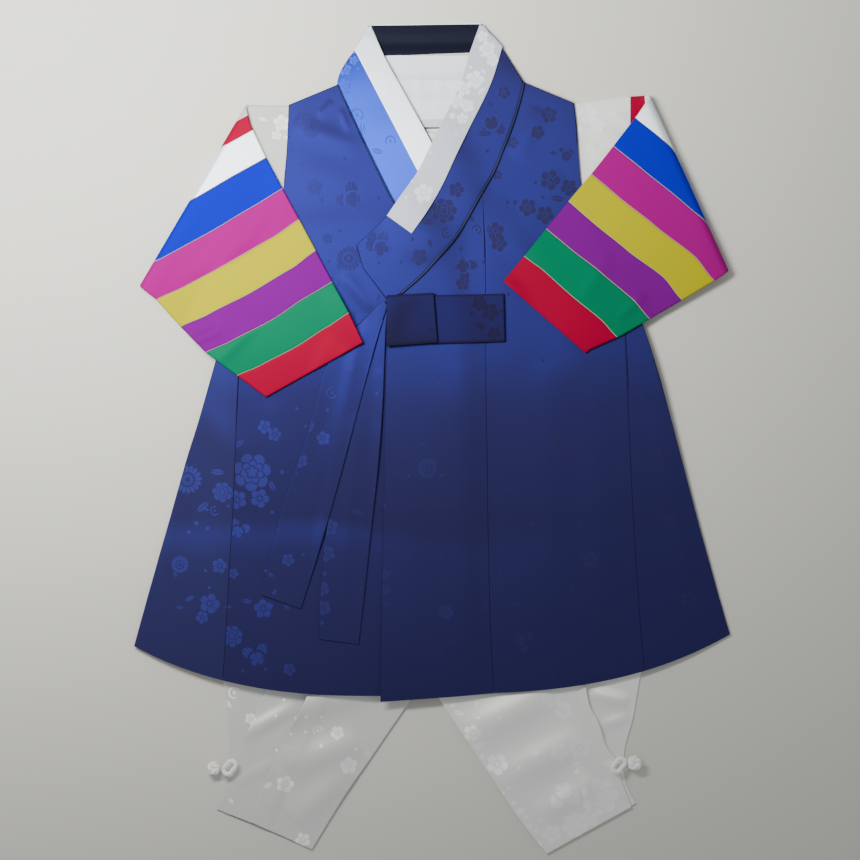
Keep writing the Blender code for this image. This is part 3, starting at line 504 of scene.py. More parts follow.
# The woven figures where they show: their kind, place and size.
FIGURES = tables(
    "kind x y size",
    coat_right_front=(
        ("blossom", -102, 255, 5.5), ("leaf", -91, 260, 5), ("daisy", -97, 248, 7), ("blossom", -95, 201, 6.4),
        ("butterfly", -64, 191, 14.4), ("blossom", -84, 160, 4.2), ("daisy", -67, 144, 10),
        ("bud", -70, 224, 1.4), ("bud", -105, 220, 1.4), ("leaf", -75, 256, 3.5), ("blossom", -134, 9, 5.5),
        ("blossom", -126, 3, 5.5), ("leaf", -154, -4, 5), ("peony", -144, -27, 15), ("blossom", -156, -49, 7.5),
        ("blossom", -138, -48, 7.5), ("leaf", -128, -38, 5), ("bud", -120, -27, 2),
        ("butterfly", -156, -75, 10.8),
        ("blossom", -159, -108, 4), ("blossom", -135, -136, 7.5), ("leaf", -148, -130, 4.5),
        ("peony", -160, -158, 8.5), ("butterfly", -140, -176, 13.2), ("bud", -128, -59, 1.5),
        ("blossom", -114, -184, 5),
    ),
    coat_right_gore=(
        ("daisy", -196, -33, 11.5), ("leaf", -184, -55, 6.5), ("leaf", -172, -27, 6), ("curl", -174, -58, 4),
        ("bud", -189, -68, 1.8), ("bud", -195, -75, 1.6), ("bud", -180, -72, 1.6), ("daisy", -202, -101, 7),
        ("blossom", -170, -102, 6), ("blossom", -178, -132, 8), ("blossom", -184, -143, 5),
        ("leaf", -194, -128, 4.5), ("peony", -168, -43, 8),
    ),
    collar_right=(
        ("blossom", -70, 296, 5), ("blossom", -63, 303, 3.6), ("blossom", -70, 284, 4.5),
        ("bud", -68, 277, 1.3), ("curl", -61, 259, 5.5), ("leaf", -56, 248, 5), ("curl", -34, 238, 4.5),
        ("leaf", -44, 230, 5), ("leaf", -38, 202, 4),
    ),
    collar_left=(
        ("butterfly", 47, 253, 12.6), ("leaf", 41, 244, 5), ("peony", 9, 182, 10), ("blossom", 19, 199, 6),
        ("curl", 11, 164, 4), ("leaf", -4, 173, 6), ("butterfly", -41, 152, 13.2), ("blossom", -11, 145, 6.5),
        ("bud", -25, 141, 1.5), ("bud", -16, 159, 1.4), ("blossom", -48, 160, 5), ("leaf", -2, 156, 4),
        ("blossom", 57, 277, 5), ("bud", 44, 230, 1.4),
    ),
    coat_left_front=(
        ("blossom", 93, 259, 6.4), ("blossom", 84, 245, 5.5), ("blossom", 64, 237, 4.6),
        ("blossom", 107, 226, 4), ("bud", 103, 231, 1.7), ("bud", 96, 229, 1.2), ("blossom", 52, 211, 3.6),
        ("blossom", 94, 207, 8), ("blossom", 109, 201, 6.5), ("blossom", 76, 185, 7), ("bud", 66, 189, 1.8),
        ("bud", 60, 189, 1.4), ("blossom", 90, 179, 7), ("leaf", 100, 192, 6), ("blossom", 50, 166, 7),
        ("blossom", 53, 156, 6.5), ("leaf", 45, 168, 3.5), ("daisy", 102, -6, 9), ("blossom", 126, -97, 7),
        ("butterfly", 70, -161, 10.8),
    ),
    coat_overlap=(
        ("butterfly", 24, 138, 11.4), ("blossom", 24, 124, 5.5), ("curl", 35, 167, 4), ("leaf", 31, 176, 4),
        ("bud", 41, 141, 1.3), ("daisy", -4, -24, 8), ("blossom", -37, -109, 4), ("blossom", -37, -121, 4),
        ("leaf", -37, -132, 4), ("blossom", 11, -139, 6),
    ),
    coat_left_gore=(
        ("blossom", 185, -11, 6), ("blossom", 206, -129, 7), ("leaf", 192, -65, 5),
    ),
    ribbon_tail_over=(
        ("leaf", -97, 9, 5.5), ("blossom", -87, 0, 5.5), ("blossom", -105, -18, 5.5), ("curl", -80, 36, 4.5),
        ("leaf", -64, 56, 5), ("blossom", -115, -97, 5),
    ),
    ribbon_tail_under=(
        ("blossom", -82, -71, 7), ("blossom", -84, -92, 6.5), ("blossom", -88, -120, 6),
        ("blossom", -87, -135, 6), ("bud", -86, -108, 1.8), ("bud", -88, -147, 1.8), ("leaf", -60, -59, 5),
    ),
    ribbon_bow=(
        ("blossom", 37, 108, 6), ("blossom", 46, 101, 7), ("leaf", 38, 90, 5.5), ("blossom", 49, 84, 5.5),
        ("bud", 31, 100, 1.6), ("bud", 41, 78, 1.4),
    ),
    left_sleeve_top=(
        ("blossom", 125, 260, 8), ("blossom", 132, 251, 6), ("leaf", 118, 247, 5), ("daisy", 139, 232, 5.5),
        ("curl", 144, 264, 4),
    ),
    right_sleeve_top=(
        ("blossom", -121, 253, 6.5), ("blossom", -125, 243, 4), ("leaf", -136, 256, 4),
    ),
    left_leg=(
        ("leaf", 21, -220, 5), ("bud", 16, -214, 1.6), ("blossom", 32, -236, 7), ("leaf", 37, -246, 6),
        ("bud", 40, -255, 2), ("blossom", 52, -261, 8.8), ("blossom", 95, -208, 7.5),
        ("blossom", 105, -218, 7.5), ("blossom", 118, -248, 9.5), ("blossom", 102, -251, 7.5),
        ("leaf", 117, -266, 5), ("butterfly", 105, -282, 15.6), ("peony", 134, -287, 15),
        ("peony", 114, -310, 10), ("blossom", 126, -304, 7), ("blossom", 96, -317, 7.5), ("bud", 61, -280, 1.8),
        ("bud", 57, -284, 1.5), ("bud", 65, -292, 2), ("bud", 71, -299, 3), ("bud", 75, -304, 2),
        ("bud", 78, -311, 2), ("bud", 83, -315, 1.8), ("bud", 86, -325, 2.2), ("curl", 88, -305, 3.6),
        ("leaf", 142, -261, 7),
    ),
    right_leg=(
        ("blossom", -76, -236, 5.5), ("curl", -92, -234, 4), ("blossom", -67, -262, 7),
        ("blossom", -118, -277, 7), ("leaf", -132, -278, 4.5), ("blossom", -104, -322, 6),
        ("curl", -159, -204, 5), ("leaf", -164, -213, 4.5), ("blossom", -146, -225, 4.5),
        ("bud", -89, -246, 1.6),
    ),
    collar_left_strip=(
        ("blossom", 40, 322, 4.5), ("blossom", 44, 312, 6.5), ("blossom", 48, 303, 5),
        ("blossom", 34, 287, 7.5), ("blossom", 25, 280, 6), ("leaf", 39, 278, 4.5), ("blossom", 19, 270, 6),
        ("blossom", 28, 266, 5.5), ("bud", 16, 258, 2.5), ("blossom", 24, 256, 4.5), ("blossom", -7, 196, 7.5),
        ("bud", -17, 206, 1.6),
    ),
)


class Ground:
    """How high the cloth laid so far reaches, on cells of 1 mm."""

    low = np.array([-262.0, -356.0])
    size = (525, 713)

    def __init__(self):
        self.top = np.zeros(self.size)

    def cover(self, points):
        cells = np.clip(np.rint(points[..., :2] - self.low).astype(int), 0, np.array(self.size) - 1)
        np.maximum.at(self.top, (cells[..., 0], cells[..., 1]), points[..., 2])

    def ease(self, slope):
        """Smooths what lies under the coat into long gentle slopes."""
        high = self.top
        for _ in range(EASE_ROUNDS):
            high = widened(high, slope)
        self.top = np.where(self.top > 0, np.maximum(self.top, blurred(high, 6)), self.top)

    def rest(self, reach=4, slope=0.3, softness=2.0):
        """Where cloth laid on this comes to rest, sloping softly down round what it lies on."""
        high = self.top
        for _ in range(reach):
            high = widened(high, 0)
        for _ in range(REST_ROUNDS):
            high = widened(high, slope)
        high = blurred(high, softness)
        return high + GAP * np.minimum(1, high / GAP)


def widened(high, fall):
    wide = high.copy()
    wide[1:] = np.maximum(wide[1:], high[:-1] - fall)
    wide[:-1] = np.maximum(wide[:-1], high[1:] - fall)
    tall = wide.copy()
    tall[:, 1:] = np.maximum(tall[:, 1:], wide[:, :-1] - fall)
    tall[:, :-1] = np.maximum(tall[:, :-1], wide[:, 1:] - fall)
    return tall


def blurred(field, softness):
    steps = np.arange(-int(3 * softness), int(3 * softness) + 1)
    weights = np.exp(-(steps**2) / (2 * softness**2))
    weights /= weights.sum()
    for axis in (0, 1):
        field = sum(w * np.roll(field, s, axis=axis) for s, w in zip(steps, weights))
    return field


def read(field, plan):
    """The field's value at points between its cells."""
    spot = np.clip(plan - Ground.low, 0, np.array(Ground.size) - 1.001)
    cell = spot.astype(int)
    part = spot - cell
    total = 0
    for i, j in product((0, 1), (0, 1)):
        weight = (part[..., 0] if i else 1 - part[..., 0]) * (part[..., 1] if j else 1 - part[..., 1])
        total = total + weight * field[cell[..., 0] + i, cell[..., 1] + j]
    return total


def relief(plan, creases):
    """How far soft ridges lift the cloth."""
    lift = np.zeros(plan.shape[:-1])
    for crease in creases:
        start = np.array([crease.x, crease.y])
        run = np.array([crease.to_x, crease.to_y]) - start
        along = np.clip((plan - start) @ run / (run @ run), 0, 1)
        away = np.linalg.norm(plan - start - along[..., None] * run, axis=-1)
        lift += crease.height * np.exp(-((away / crease.width) ** 2)) * (4 * along * (1 - along)) ** 0.6
    return lift


def billow(plan, height):
    """Slow waves, as in cloth smoothed out by hand."""
    x, y = plan[..., 0], plan[..., 1]
    waves = (
        np.sin(0.031 * x + 0.012 * y + 0.4)
        + 0.8 * np.sin(0.017 * x - 0.036 * y + 1.9)
        + 0.5 * np.sin(0.055 * x + 0.041 * y + 4.1)
        + 0.4 * np.sin(-0.083 * x + 0.027 * y + 2.7)
    )
    return height * (waves + 2.7) / 5.4


def curve(knots, per, corners=()):
    """Points along a smooth line through the knots, with sharp turns only at the corners."""
    knots = np.asarray(knots, float)
    stops = [0, *corners, len(knots) - 1]
    share = np.linspace(0, 1, per, endpoint=False)[:, None]
    points = []
    for first, last in zip(stops, stops[1:]):
        part = knots[first : last + 1]
        steps = np.linalg.norm(np.diff(part, axis=0), axis=1)
        if len(part) > 2:
            slopes = np.gradient(part, np.concatenate([[0], np.cumsum(steps)]), axis=0)
        else:
            slopes = np.tile((part[1] - part[0]) / steps[0], (2, 1))
        for a, b, u, v, step in zip(part, part[1:], slopes, slopes[1:], steps):
            points.append(
                (2 * share**3 - 3 * share**2 + 1) * a
                + (share**3 - 2 * share**2 + share) * u * step
                + (3 * share**2 - 2 * share**3) * b
                + (share**3 - share**2) * v * step
            )
    return np.concatenate([*points, knots[-1:]])


def with_edges(line, edge):
    """Adds a point a small way in from each end of evenly spread values from 0 to 1."""
    return np.concatenate([[0, edge], line[1:-1], [1 - edge, 1]])


def across(first, second, step=MESH_STEP):
    """A fine grid between two edges, with a narrow row along each side."""
    width = np.linalg.norm(first - second, axis=1)
    columns = max(2, math.ceil(width.max() / step))
    edge = min(1.0 / width.mean(), 0.4 / columns)
    share = with_edges(np.linspace(0, 1, columns + 1), edge)[None, :, None]
    return first[:, None] * (1 - share) + second[:, None] * share


def end_rows(grid):
    """Adds a narrow row at each end of a grid."""
    lead = np.minimum(1.0 / np.linalg.norm(grid[1] - grid[0], axis=1).mean(), 0.4)
    tail = np.minimum(1.0 / np.linalg.norm(grid[-1] - grid[-2], axis=1).mean(), 0.4)
    first = grid[0] + (grid[1] - grid[0]) * lead
    last = grid[-1] + (grid[-2] - grid[-1]) * tail
    return np.concatenate([grid[:1], first[None], grid[1:-1], last[None], grid[-1:]])


def edges(rows, first="inner", second="outer"):
    return [
        np.array([[getattr(row, side + "_x"), getattr(row, side + "_y")] for row in rows], float)
        for side in (first, second)
    ]


def strip(rows, corners=(), step=MESH_STEP):
    """A fine grid over a table of sections."""
    one, two = edges(rows)
    spacing = max(np.linalg.norm(np.diff(edge, axis=0), axis=1).max() for edge in (one, two))
    per = max(2, math.ceil(spacing / step))
    return end_rows(across(curve(one, per, corners), curve(two, per, corners), step))


def coat_shape(per=COAT_PER_ROW):
    rows = np.array([[row.left, row.left_y, row.right, row.right_y, row.dip] for row in COAT])
    return curve(rows, per, (ARMPIT,))


def coat_y(shape, x):
    left, left_y, right, right_y, dip = (shape[:, k : k + 1] for k in range(5))
    place = (2 * x - left - right) / (right - left)
    side = left_y + (right_y - left_y) * (place + 1) / 2
    return side - dip * (1 - np.abs(place) ** HEM_DIP_POWER)


def coat_line(column, first):
    """A named line of the coat from a row down to the hem, on straight rows."""
    points = []
    for row in COAT[first:]:
        x = getattr(row, column)
        share = (x - row.left) / (row.right - row.left)
        points.append([x, row.left_y + (row.right_y - row.left_y) * share])
    return np.array(points)


def outline(side, last=None):
    return np.array([[getattr(row, side), getattr(row, side + "_y")] for row in COAT[:last]], float)


def sag(grid, rows, shape):
    """Bends the last rows of a grid to the coat's own curved rows."""
    grid[-rows:, :, 1] = coat_y(shape[-rows:], grid[-rows:, :, 0])
    return grid


def coat_panel(inner, outer, inner_corners, outer_corners, first):
    """A panel of the coat; the sagging part starts at the given row."""
    per = COAT_PER_ROW
    grid = across(curve(inner, per, inner_corners), curve(outer, per, outer_corners))
    rows = (len(COAT) - 1 - first) * per + 1
    return sag(grid, rows, coat_shape())


def coat_back():
    left, right = outline("left"), outline("right")
    for edge in (left, right):
        edge[:ARMPIT, 0] = np.clip(edge[:ARMPIT, 0], -COAT_BACK_HALF, COAT_BACK_HALF)
        edge[:, 0] *= 1 - 1.2 / 239
    left, right = np.insert(left, 0, COAT_NECK[0], axis=0), np.insert(right, 0, COAT_NECK[1], axis=0)
    per = 4
    corners = (1, ARMPIT + 1)
    grid = across(curve(left, per, corners), curve(right, per, corners), 7.0)
    rows = (len(COAT) - 1 - ARMPIT) * per + 1
    grid = sag(grid, rows, coat_shape(per))
    grid[-1, :, 1] += 1.2
    return end_rows(grid)


def right_front():
    outer = np.concatenate([outline("left", ARMPIT), coat_line("gore_left", ARMPIT)])
    hidden = coat_line("left", ARMPIT)
    hidden[:, 0] = UNDER_EDGE
    hidden[:, 1] = [row.left_y for row in COAT[ARMPIT:]]
    inner = np.concatenate([edges(UNDER_COLLAR)[1][2:], hidden])
    return end_rows(coat_panel(outer, inner, (ARMPIT,), (6,), ARMPIT))


def left_front():
    collar = edges(OVER_COLLAR)[1][OVER_KNOTS[0] : OVER_KNOTS[1] + 1]
    inner = np.concatenate([collar, coat_line("seam", ARMPIT - 1)])
    outer = np.concatenate([outline("right", ARMPIT), coat_line("gore_right", ARMPIT)])
    return end_rows(coat_panel(inner, outer, (5,), (ARMPIT,), ARMPIT))


def overlap_panel():
    collar = edges(OVER_COLLAR)[1][OVER_KNOTS[1] : OVER_KNOTS[2] + 1].copy()
    seam = coat_line("seam", ARMPIT - 1)
    collar[0] = collar[0] * 0.94 + collar[1] * 0.06
    side = np.interp(collar[:, 1], [seam[2, 1], seam[1, 1], seam[0, 1], 198.2], [42.8, 42.6, 42.4, 39.9])
    inner = np.concatenate([collar, coat_line("lap", ARMPIT + 2)])
    outer = np.concatenate([np.stack([side, collar[:, 1]], axis=1), coat_line("seam", ARMPIT + 2)])
    grid = coat_panel(inner, outer, (6,), (), ARMPIT + 2)
    droop = LAP_DROOP * np.linspace(1, 0, grid.shape[1])
    fade = np.clip(np.linspace(1 - 2.2, 1, 2 * COAT_PER_ROW + 1)[:, None], 0, 1)
    grid[-len(fade) :, :, 1] -= droop * fade
    return end_rows(grid)


def gore(side):
    grid = coat_panel(outline(side)[ARMPIT:], coat_line("gore_" + side, ARMPIT), (), (), ARMPIT)
    return end_rows(grid)


def piping(rows, half_width, first, last):
    """A narrow cord of cloth along the outer edge of a table."""
    line = curve(edges(rows)[1][first:last], 12)
    run = np.gradient(line, axis=0)
    run /= np.linalg.norm(run, axis=1)[:, None]
    off = np.stack([-run[:, 1], run[:, 0]], axis=1) * half_width
    share = np.linspace(-1, 1, 5)[None, :, None]
    return line[:, None] + off[:, None] * share


def boundary(grid):
    rows, columns = grid.shape[0] - 1, grid.shape[1] - 1
    top = [(0, j) for j in range(columns)]
    right = [(i, columns) for i in range(rows)]
    bottom = [(rows, j) for j in range(columns, 0, -1)]
    left = [(i, 0) for i in range(rows, 0, -1)]
    return tuple(np.array(top + right + bottom + left).T)


def drawn_in(loop, amount):
    """A closed loop moved inwards in plan."""
    plan = loop[:, :2]
    before, after = np.roll(plan, 1, axis=0), np.roll(plan, -1, axis=0)
    turn = 1.0 if np.sum(plan[:, 0] * after[:, 1] - after[:, 0] * plan[:, 1]) > 0 else -1.0

    def normals(run):
        run = run / np.maximum(np.linalg.norm(run, axis=1), 1e-6)[:, None]
        return turn * np.stack([-run[:, 1], run[:, 0]], axis=1)

    one, two = normals(plan - before), normals(after - plan)
    opening = np.maximum(1 + np.sum(one * two, axis=1), 0.4)
    moved = loop.copy()
    moved[:, :2] += (one + two) / opening[:, None] * amount
    return moved


def smoothed(mesh):
    """The mesh with its faces turned outwards and shaded smoothly."""
    shell = bmesh.new()
    shell.from_mesh(mesh)
    bmesh.ops.recalc_face_normals(shell, faces=shell.faces)
    shell.to_mesh(mesh)
    shell.free()
    mesh.shade_smooth()
    return mesh


def mesh_of(name, points, faces):
    mesh = bpy.data.meshes.new(name)
    mesh.from_pydata((np.asarray(points) * MM).tolist(), [], faces)
    return smoothed(mesh)


def cloth_mesh(name, low, wall, rim=RIM):
    """Closed cloth over a grid of its lower side, with rounded edges."""
    places = boundary(low)
    low = low.copy()
    edge = drawn_in(low[places], SEAM_CLEARANCE)
    low[places] = drawn_in(edge, rim)
    rings = [drawn_in(edge, rim * inset) + [0, 0, wall * height] for inset, height in RIM_STEPS]
    points = np.concatenate([low.reshape(-1, 3), (low + [0, 0, wall]).reshape(-1, 3), *rings])
    count, size = low.shape[0] * low.shape[1], len(edge)
    number = np.arange(count).reshape(low.shape[:2])
    quads = np.stack([number[:-1, :-1], number[1:, :-1], number[1:, 1:], number[:-1, 1:]], axis=-1)
    faces = [quads.reshape(-1, 4), quads.reshape(-1, 4)[:, ::-1] + count]
    around = number[places]
    stack = [around, *(2 * count + size * k + np.arange(size) for k in range(len(rings))), around + count]
    for one, two in zip(stack, stack[1:]):
        faces.append(np.stack([one, two, np.roll(two, -1), np.roll(one, -1)], axis=1))
    return mesh_of(name, points, np.concatenate(faces).tolist())


def tube_mesh(name, outer, inner):
    """A closed wall between two nests of loops, open at both ends."""
    stations, size = outer.shape[:2]
    points = np.concatenate([outer.reshape(-1, 3), inner.reshape(-1, 3)])
    number = np.arange(stations * size).reshape(stations, size)
    faces = []
    for offset in (0, stations * size):
        one, two = number[:-1] + offset, number[1:] + offset
        quads = np.stack([one, np.roll(one, -1, axis=1), np.roll(two, -1, axis=1), two], axis=-1)
        faces.append(quads.reshape(-1, 4))
    for row in (number[0], number[-1]):
        after = np.roll(row, -1)
        faces.append(np.stack([row, after, after + stations * size, row + stations * size], axis=1))
    return mesh_of(name, points, np.concatenate(faces).tolist())


def cord_nodes():
    """Turns a line of points into a round cord."""
    tree = bpy.data.node_groups.new("round_cord", "GeometryNodeTree")
    for kind, name in (("Geometry", "Line"), ("Float", "Radius"), ("Int", "Sides"), ("Material", "Cord")):
        tree.interface.new_socket(name, in_out="INPUT", socket_type="NodeSocket" + kind)
    tree.interface.new_socket("Rope", in_out="OUTPUT", socket_type="NodeSocketGeometry")
    new, link = tree.nodes.new, tree.links.new
    given, result = new("NodeGroupInput"), new("NodeGroupOutput")
    line, section = new("GeometryNodeMeshToCurve"), new("GeometryNodeCurvePrimitiveCircle")
    rope, real = new("GeometryNodeCurveToMesh"), new("GeometryNodeRealizeInstances")
    dressed = new("GeometryNodeSetMaterial")
    link(given.outputs["Line"], line.inputs["Mesh"])
    link(given.outputs["Radius"], section.inputs["Radius"])
    link(given.outputs["Sides"], section.inputs["Resolution"])
    link(line.outputs["Curve"], rope.inputs["Curve"])
    link(section.outputs["Curve"], rope.inputs["Profile Curve"])
    link(rope.outputs["Mesh"], real.inputs["Geometry"])
    link(real.outputs["Geometry"], dressed.inputs["Geometry"])
    link(given.outputs["Cord"], dressed.inputs["Material"])
    link(dressed.outputs["Geometry"], result.inputs["Rope"])
    return tree


def rope_mesh(name, tree, line, radius, material):
    """A round cord along a closed line."""
    path = bpy.data.meshes.new(name + "_line")
    count = len(line)
    path.from_pydata((line * MM).tolist(), [(k, (k + 1) % count) for k in range(count)], [])
    holder = add_object(name + "_line", path)
    modifier = holder.modifiers.new("round_cord", "NODES")
    modifier.node_group = tree
    given = {"Radius": radius * MM, "Sides": CORD_SIDES, "Cord": material}
    for socket in tree.interface.items_tree:
        if socket.name in given:
            modifier[socket.identifier] = given[socket.name]
    laid = holder.evaluated_get(bpy.context.evaluated_depsgraph_get())
    mesh = bpy.data.meshes.new_from_object(laid)
    mesh.name = name
    bpy.data.objects.remove(holder)
    return smoothed(mesh)


def show(name, mesh, cover):
    """Puts a finished piece in place of its solid."""
    piece = add_object("cloth_" + name, mesh)
    if cover.material.name not in piece.data.materials:
        piece.data.materials.append(cover.material)
    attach(piece, "root")
    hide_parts(name)
    return piece


def flat_cut(grid):
    plan = grid[..., :2]
    near, below, across_from, beside = plan[:-1, :-1], plan[1:, :-1], plan[1:, 1:], plan[:-1, 1:]
    area = 0
    for a, b, c in ((near, below, across_from), (near, across_from, beside)):
        area += np.abs(np.cross(b - a, c - a)).sum() / 2
    corners = plan.reshape(-1, 2)
    width, length = np.maximum(np.ptp(corners, axis=0), LEAST_SHEET_SIDE)
    if area < 0.32 * width * length:
        corners = corners - corners.mean(axis=0)
        turned = corners @ np.linalg.svd(corners, full_matrices=False)[2].T
        width, length = np.maximum(np.ptp(turned, axis=0), LEAST_SHEET_SIDE)
    return width * MM, length * MM, area * MM * MM


class Panel:
    """One flat piece of cloth: its fine plan grid, its cloth and how it lies."""

    def __init__(self, name, grid, cover, on, wall=WALL, creases=(), waves=0.0, rim=RIM):
        self.name, self.grid, self.cover, self.on = name, grid, cover, on
        self.wall, self.creases, self.waves, self.rim = wall, creases, waves, rim

    def settle(self, rest):
        height = read(rest, self.grid) + relief(self.grid, self.creases)
        if self.waves:
            height = height + billow(self.grid, self.waves)
        self.low = np.dstack([self.grid, height])

    def show(self):
        piece = show(self.name, cloth_mesh(self.name, self.low, self.wall, self.rim), self.cover)
        width, length, area = flat_cut(self.grid)


def lay(ground, *panels, reach=4, slope=0.3, softness=2.0):
    """Lays the panels of one layer side by side."""
    rest = ground.rest(reach, slope, softness)
    for panel in panels:
        panel.settle(rest)
        panel.show()
    for panel in panels:
        ground.cover(close_points(panel.low + [0, 0, panel.wall]))


def close_points(grid, parts=5):
    """Points between those of a grid, close enough to leave no cell out."""
    a, b, c, d = grid[:-1, :-1], grid[1:, :-1], grid[1:, 1:], grid[:-1, 1:]
    shares = [k / parts for k in range(parts + 1)]
    return np.concatenate(
        [
            (a * (1 - s) * (1 - t) + b * s * (1 - t) + c * s * t + d * (1 - s) * t).reshape(-1, 3)
            for s, t in product(shares, shares)
        ]
    )


def flat_loops(starts, ends, count, dips):
    """Outer and inner loops of a flattened tube at stations with two edge points each."""
    outers, inners = [], []
    share = with_edges(np.linspace(0, 1, count), 0.25 / count)
    for a, b, dip in zip(starts, ends, dips):
        length = np.linalg.norm(b - a)
        run = (b - a) / length
        nests = []
        for inset, radius, middle in ((dip, TUBE / 2 - dip, TUBE / 2), (WALL, SLIT / 2, TUBE / 2)):
            first, last = inset + radius, length - inset - radius
            along = first + (last - first) * share
            turn = np.linspace(-math.pi / 2, math.pi / 2, 7)[1:-1]
            flat = [
                np.stack([along, np.full(len(share), middle - radius)], axis=1),
                np.stack([last + radius * np.cos(turn), middle + radius * np.sin(turn)], axis=1),
                np.stack([along[::-1], np.full(len(share), middle + radius)], axis=1),
                np.stack([first - radius * np.cos(turn), middle - radius * np.sin(turn)], axis=1),
            ]
            loop = np.concatenate(flat)
            nests.append(np.column_stack([a + run * loop[:, :1], loop[:, 1]]))
        outers.append(nests[0])
        inners.append(nests[1])
    return np.array(outers), np.array(inners)


class Sleeve:
    """One sleeve, flat from the jacket to its fold and then folded back over the coat."""

    def __init__(self, fold, rows, wander):
        self.fold, self.rows, self.wander = fold, rows, wander
        self.outer_radius = TUBE + fold.inner_radius
        self.mean_radius = fold.inner_radius + TUBE / 2
        self.round = math.pi * self.mean_radius
        run = np.array([fold.low_x - fold.x, fold.low_y - fold.y])
        self.along = run / np.linalg.norm(run)
        self.out = np.array([-self.along[1], self.along[0]])
        if self.out[0] * fold.side < 0:
            self.out = -self.out
        self.origin = np.array([fold.x, fold.y]) - self.outer_radius * self.out
        self.low = TUBE + 2 * fold.inner_radius

    def edge(self, out):
        outs = [row.out for row in self.rows]
        top = np.interp(out, outs, [row.top for row in self.rows])
        bottom = np.interp(out, outs, [row.bottom for row in self.rows])
        return np.array([self.fold.side * out, top]), np.array([self.fold.side * out, bottom])

    def seams(self):
        first, second, third = FIRST_STRIPES
        later = [third + self.fold.take_up + STRIPE * i for i in range(6)]
        return [JACKET_HALF, first, second, *later, later[-1] + CUFF_STRIPE]

    def beyond(self, points):
        return (points[..., :2] - self.origin) @ self.out

    def base(self, points):
        """The height of the flat part's underside: on the coat's back, then on the surface."""
        out = np.abs(points[..., 0])
        share = np.clip((SLEEVE_DROP_END - out) / (SLEEVE_DROP_END - COAT_BACK_HALF - 2), 0, 1)
        return (WALL + GAP) * share * share * (3 - 2 * share)

    def sway(self, points):
        """How far the seams wander across the sleeve."""
        out, y = np.abs(points[..., 0]), points[..., 1]
        outs = [row.out for row in self.rows]
        top, bottom = (
            np.interp(out, outs, [getattr(row, side) for row in self.rows]) for side in ("top", "bottom")
        )
        share = np.clip((top - y) / (top - bottom), 0, 1)
        places = [row.out for row in self.wander]
        inner = ([getattr(row, at) for row in self.wander] for at in ("at_fifth", "at_half", "at_most"))
        levels = [0, *(np.interp(out, places, values) for values in inner), 0]
        knots = (0, 0.2, 0.5, 0.8, 1)
        total = 0
        for k, level in enumerate(levels):
            before, after = knots[max(k - 1, 0)], knots[min(k + 1, 4)]
            rise = np.clip((share - before) / max(knots[k] - before, 1e-6), 0, 1) if k else 1
            fall = np.clip((after - share) / max(after - knots[k], 1e-6), 0, 1) if k < 4 else 1
            weight = np.minimum(rise, fall)
            total = total + level * weight * weight * (3 - 2 * weight)
        return total

    def samples(self, step=0.8):
        outs = np.arange(JACKET_HALF, self.rows[-1].out, step)
        share = np.linspace(0, 1, 180)[:, None]
        return np.concatenate([a * (1 - share) + b * share for a, b in map(self.edge, outs)])

    def cover_flat(self, ground):
        points = self.samples()
        points = points[self.beyond(points) < self.outer_radius]
        ground.cover(np.column_stack([points, self.base(points) + TUBE]))

    def place(self, points, rest):
        """Bends points of the unfolded tube over the fold and down on what is there."""
        points = points.copy()
        points[..., 0] += self.fold.side * self.sway(points)
        d, height = self.beyond(points), points[..., 2]
        centre = TUBE + self.fold.inner_radius
        angle = np.clip(d / self.mean_radius, 0, math.pi)
        past = np.maximum(d - self.round, 0)
        offset = np.where(d < 0, d, (centre - height) * np.sin(angle) - past)
        plan = points[..., :2] + (offset - d)[..., None] * self.out
        falling = self.low - FOLD_FALL * past
        under = read(rest, plan) + billow(plan, SLEEVE_WAVES) + relief(plan, CREASES["sleeves"])
        resting = 0.5 * (under + falling + np.sqrt((under - falling) ** 2 + 0.6))
        lift = (resting - self.low) * np.clip(past / 14, 0, 1) ** 0.8
        level = centre - (centre - height) * np.cos(angle) + lift + self.base(points) * (d < 0)
        level = level + relief(plan, CREASES["sleeve_tops"]) * (d < 0)
        return np.dstack([plan, level])

    def build(self, ground, covers, thread):
        rest = ground.rest(5, 0.22, 3.0)
        seams = self.seams()
        names = ["sleeve_top", *("stripe_" + name for name in STRIPE_NAMES)]
        for k, (name, start, end) in enumerate(zip(names, seams, seams[1:])):
            step = FINE_STEP if k < FOLDED_FROM else CUFF_STEP
            parts = max(3, math.ceil((end - start) / step))
            inside = with_edges(np.linspace(0, 1, parts + 1), 0.5 / (end - start))
            outs = start + STRIPE_GAP + (end - start - 2 * STRIPE_GAP) * inside
            starts, ends = zip(*(self.edge(out) for out in outs))
            dips = np.zeros(len(outs))
            dips[[0, -1]] = STRIPE_DIP
            count = math.ceil(SLEEVE_ROUND_SAMPLES / step)
            outer, inner = (self.place(loops, rest) for loops in flat_loops(starts, ends, count, dips))
            label = f"{self.fold.wearer}_{name}"
            piece = show(label, tube_mesh(label, outer, inner), covers[name])
            if 1 < k < len(STRIPE_NAMES):
                piece.data.materials.append(thread)
                last_row = (len(outs) - 2) * outer.shape[1]
                for face in piece.data.polygons[last_row : last_row + outer.shape[1]]:
                    face.material_index = 1
            wide = 2 * np.mean([np.linalg.norm(b - a) for a, b in zip(starts, ends)])
            max(end - start, LEAST_STRIPE_SHEET) * MM
            (end - start) * wide * MM * MM


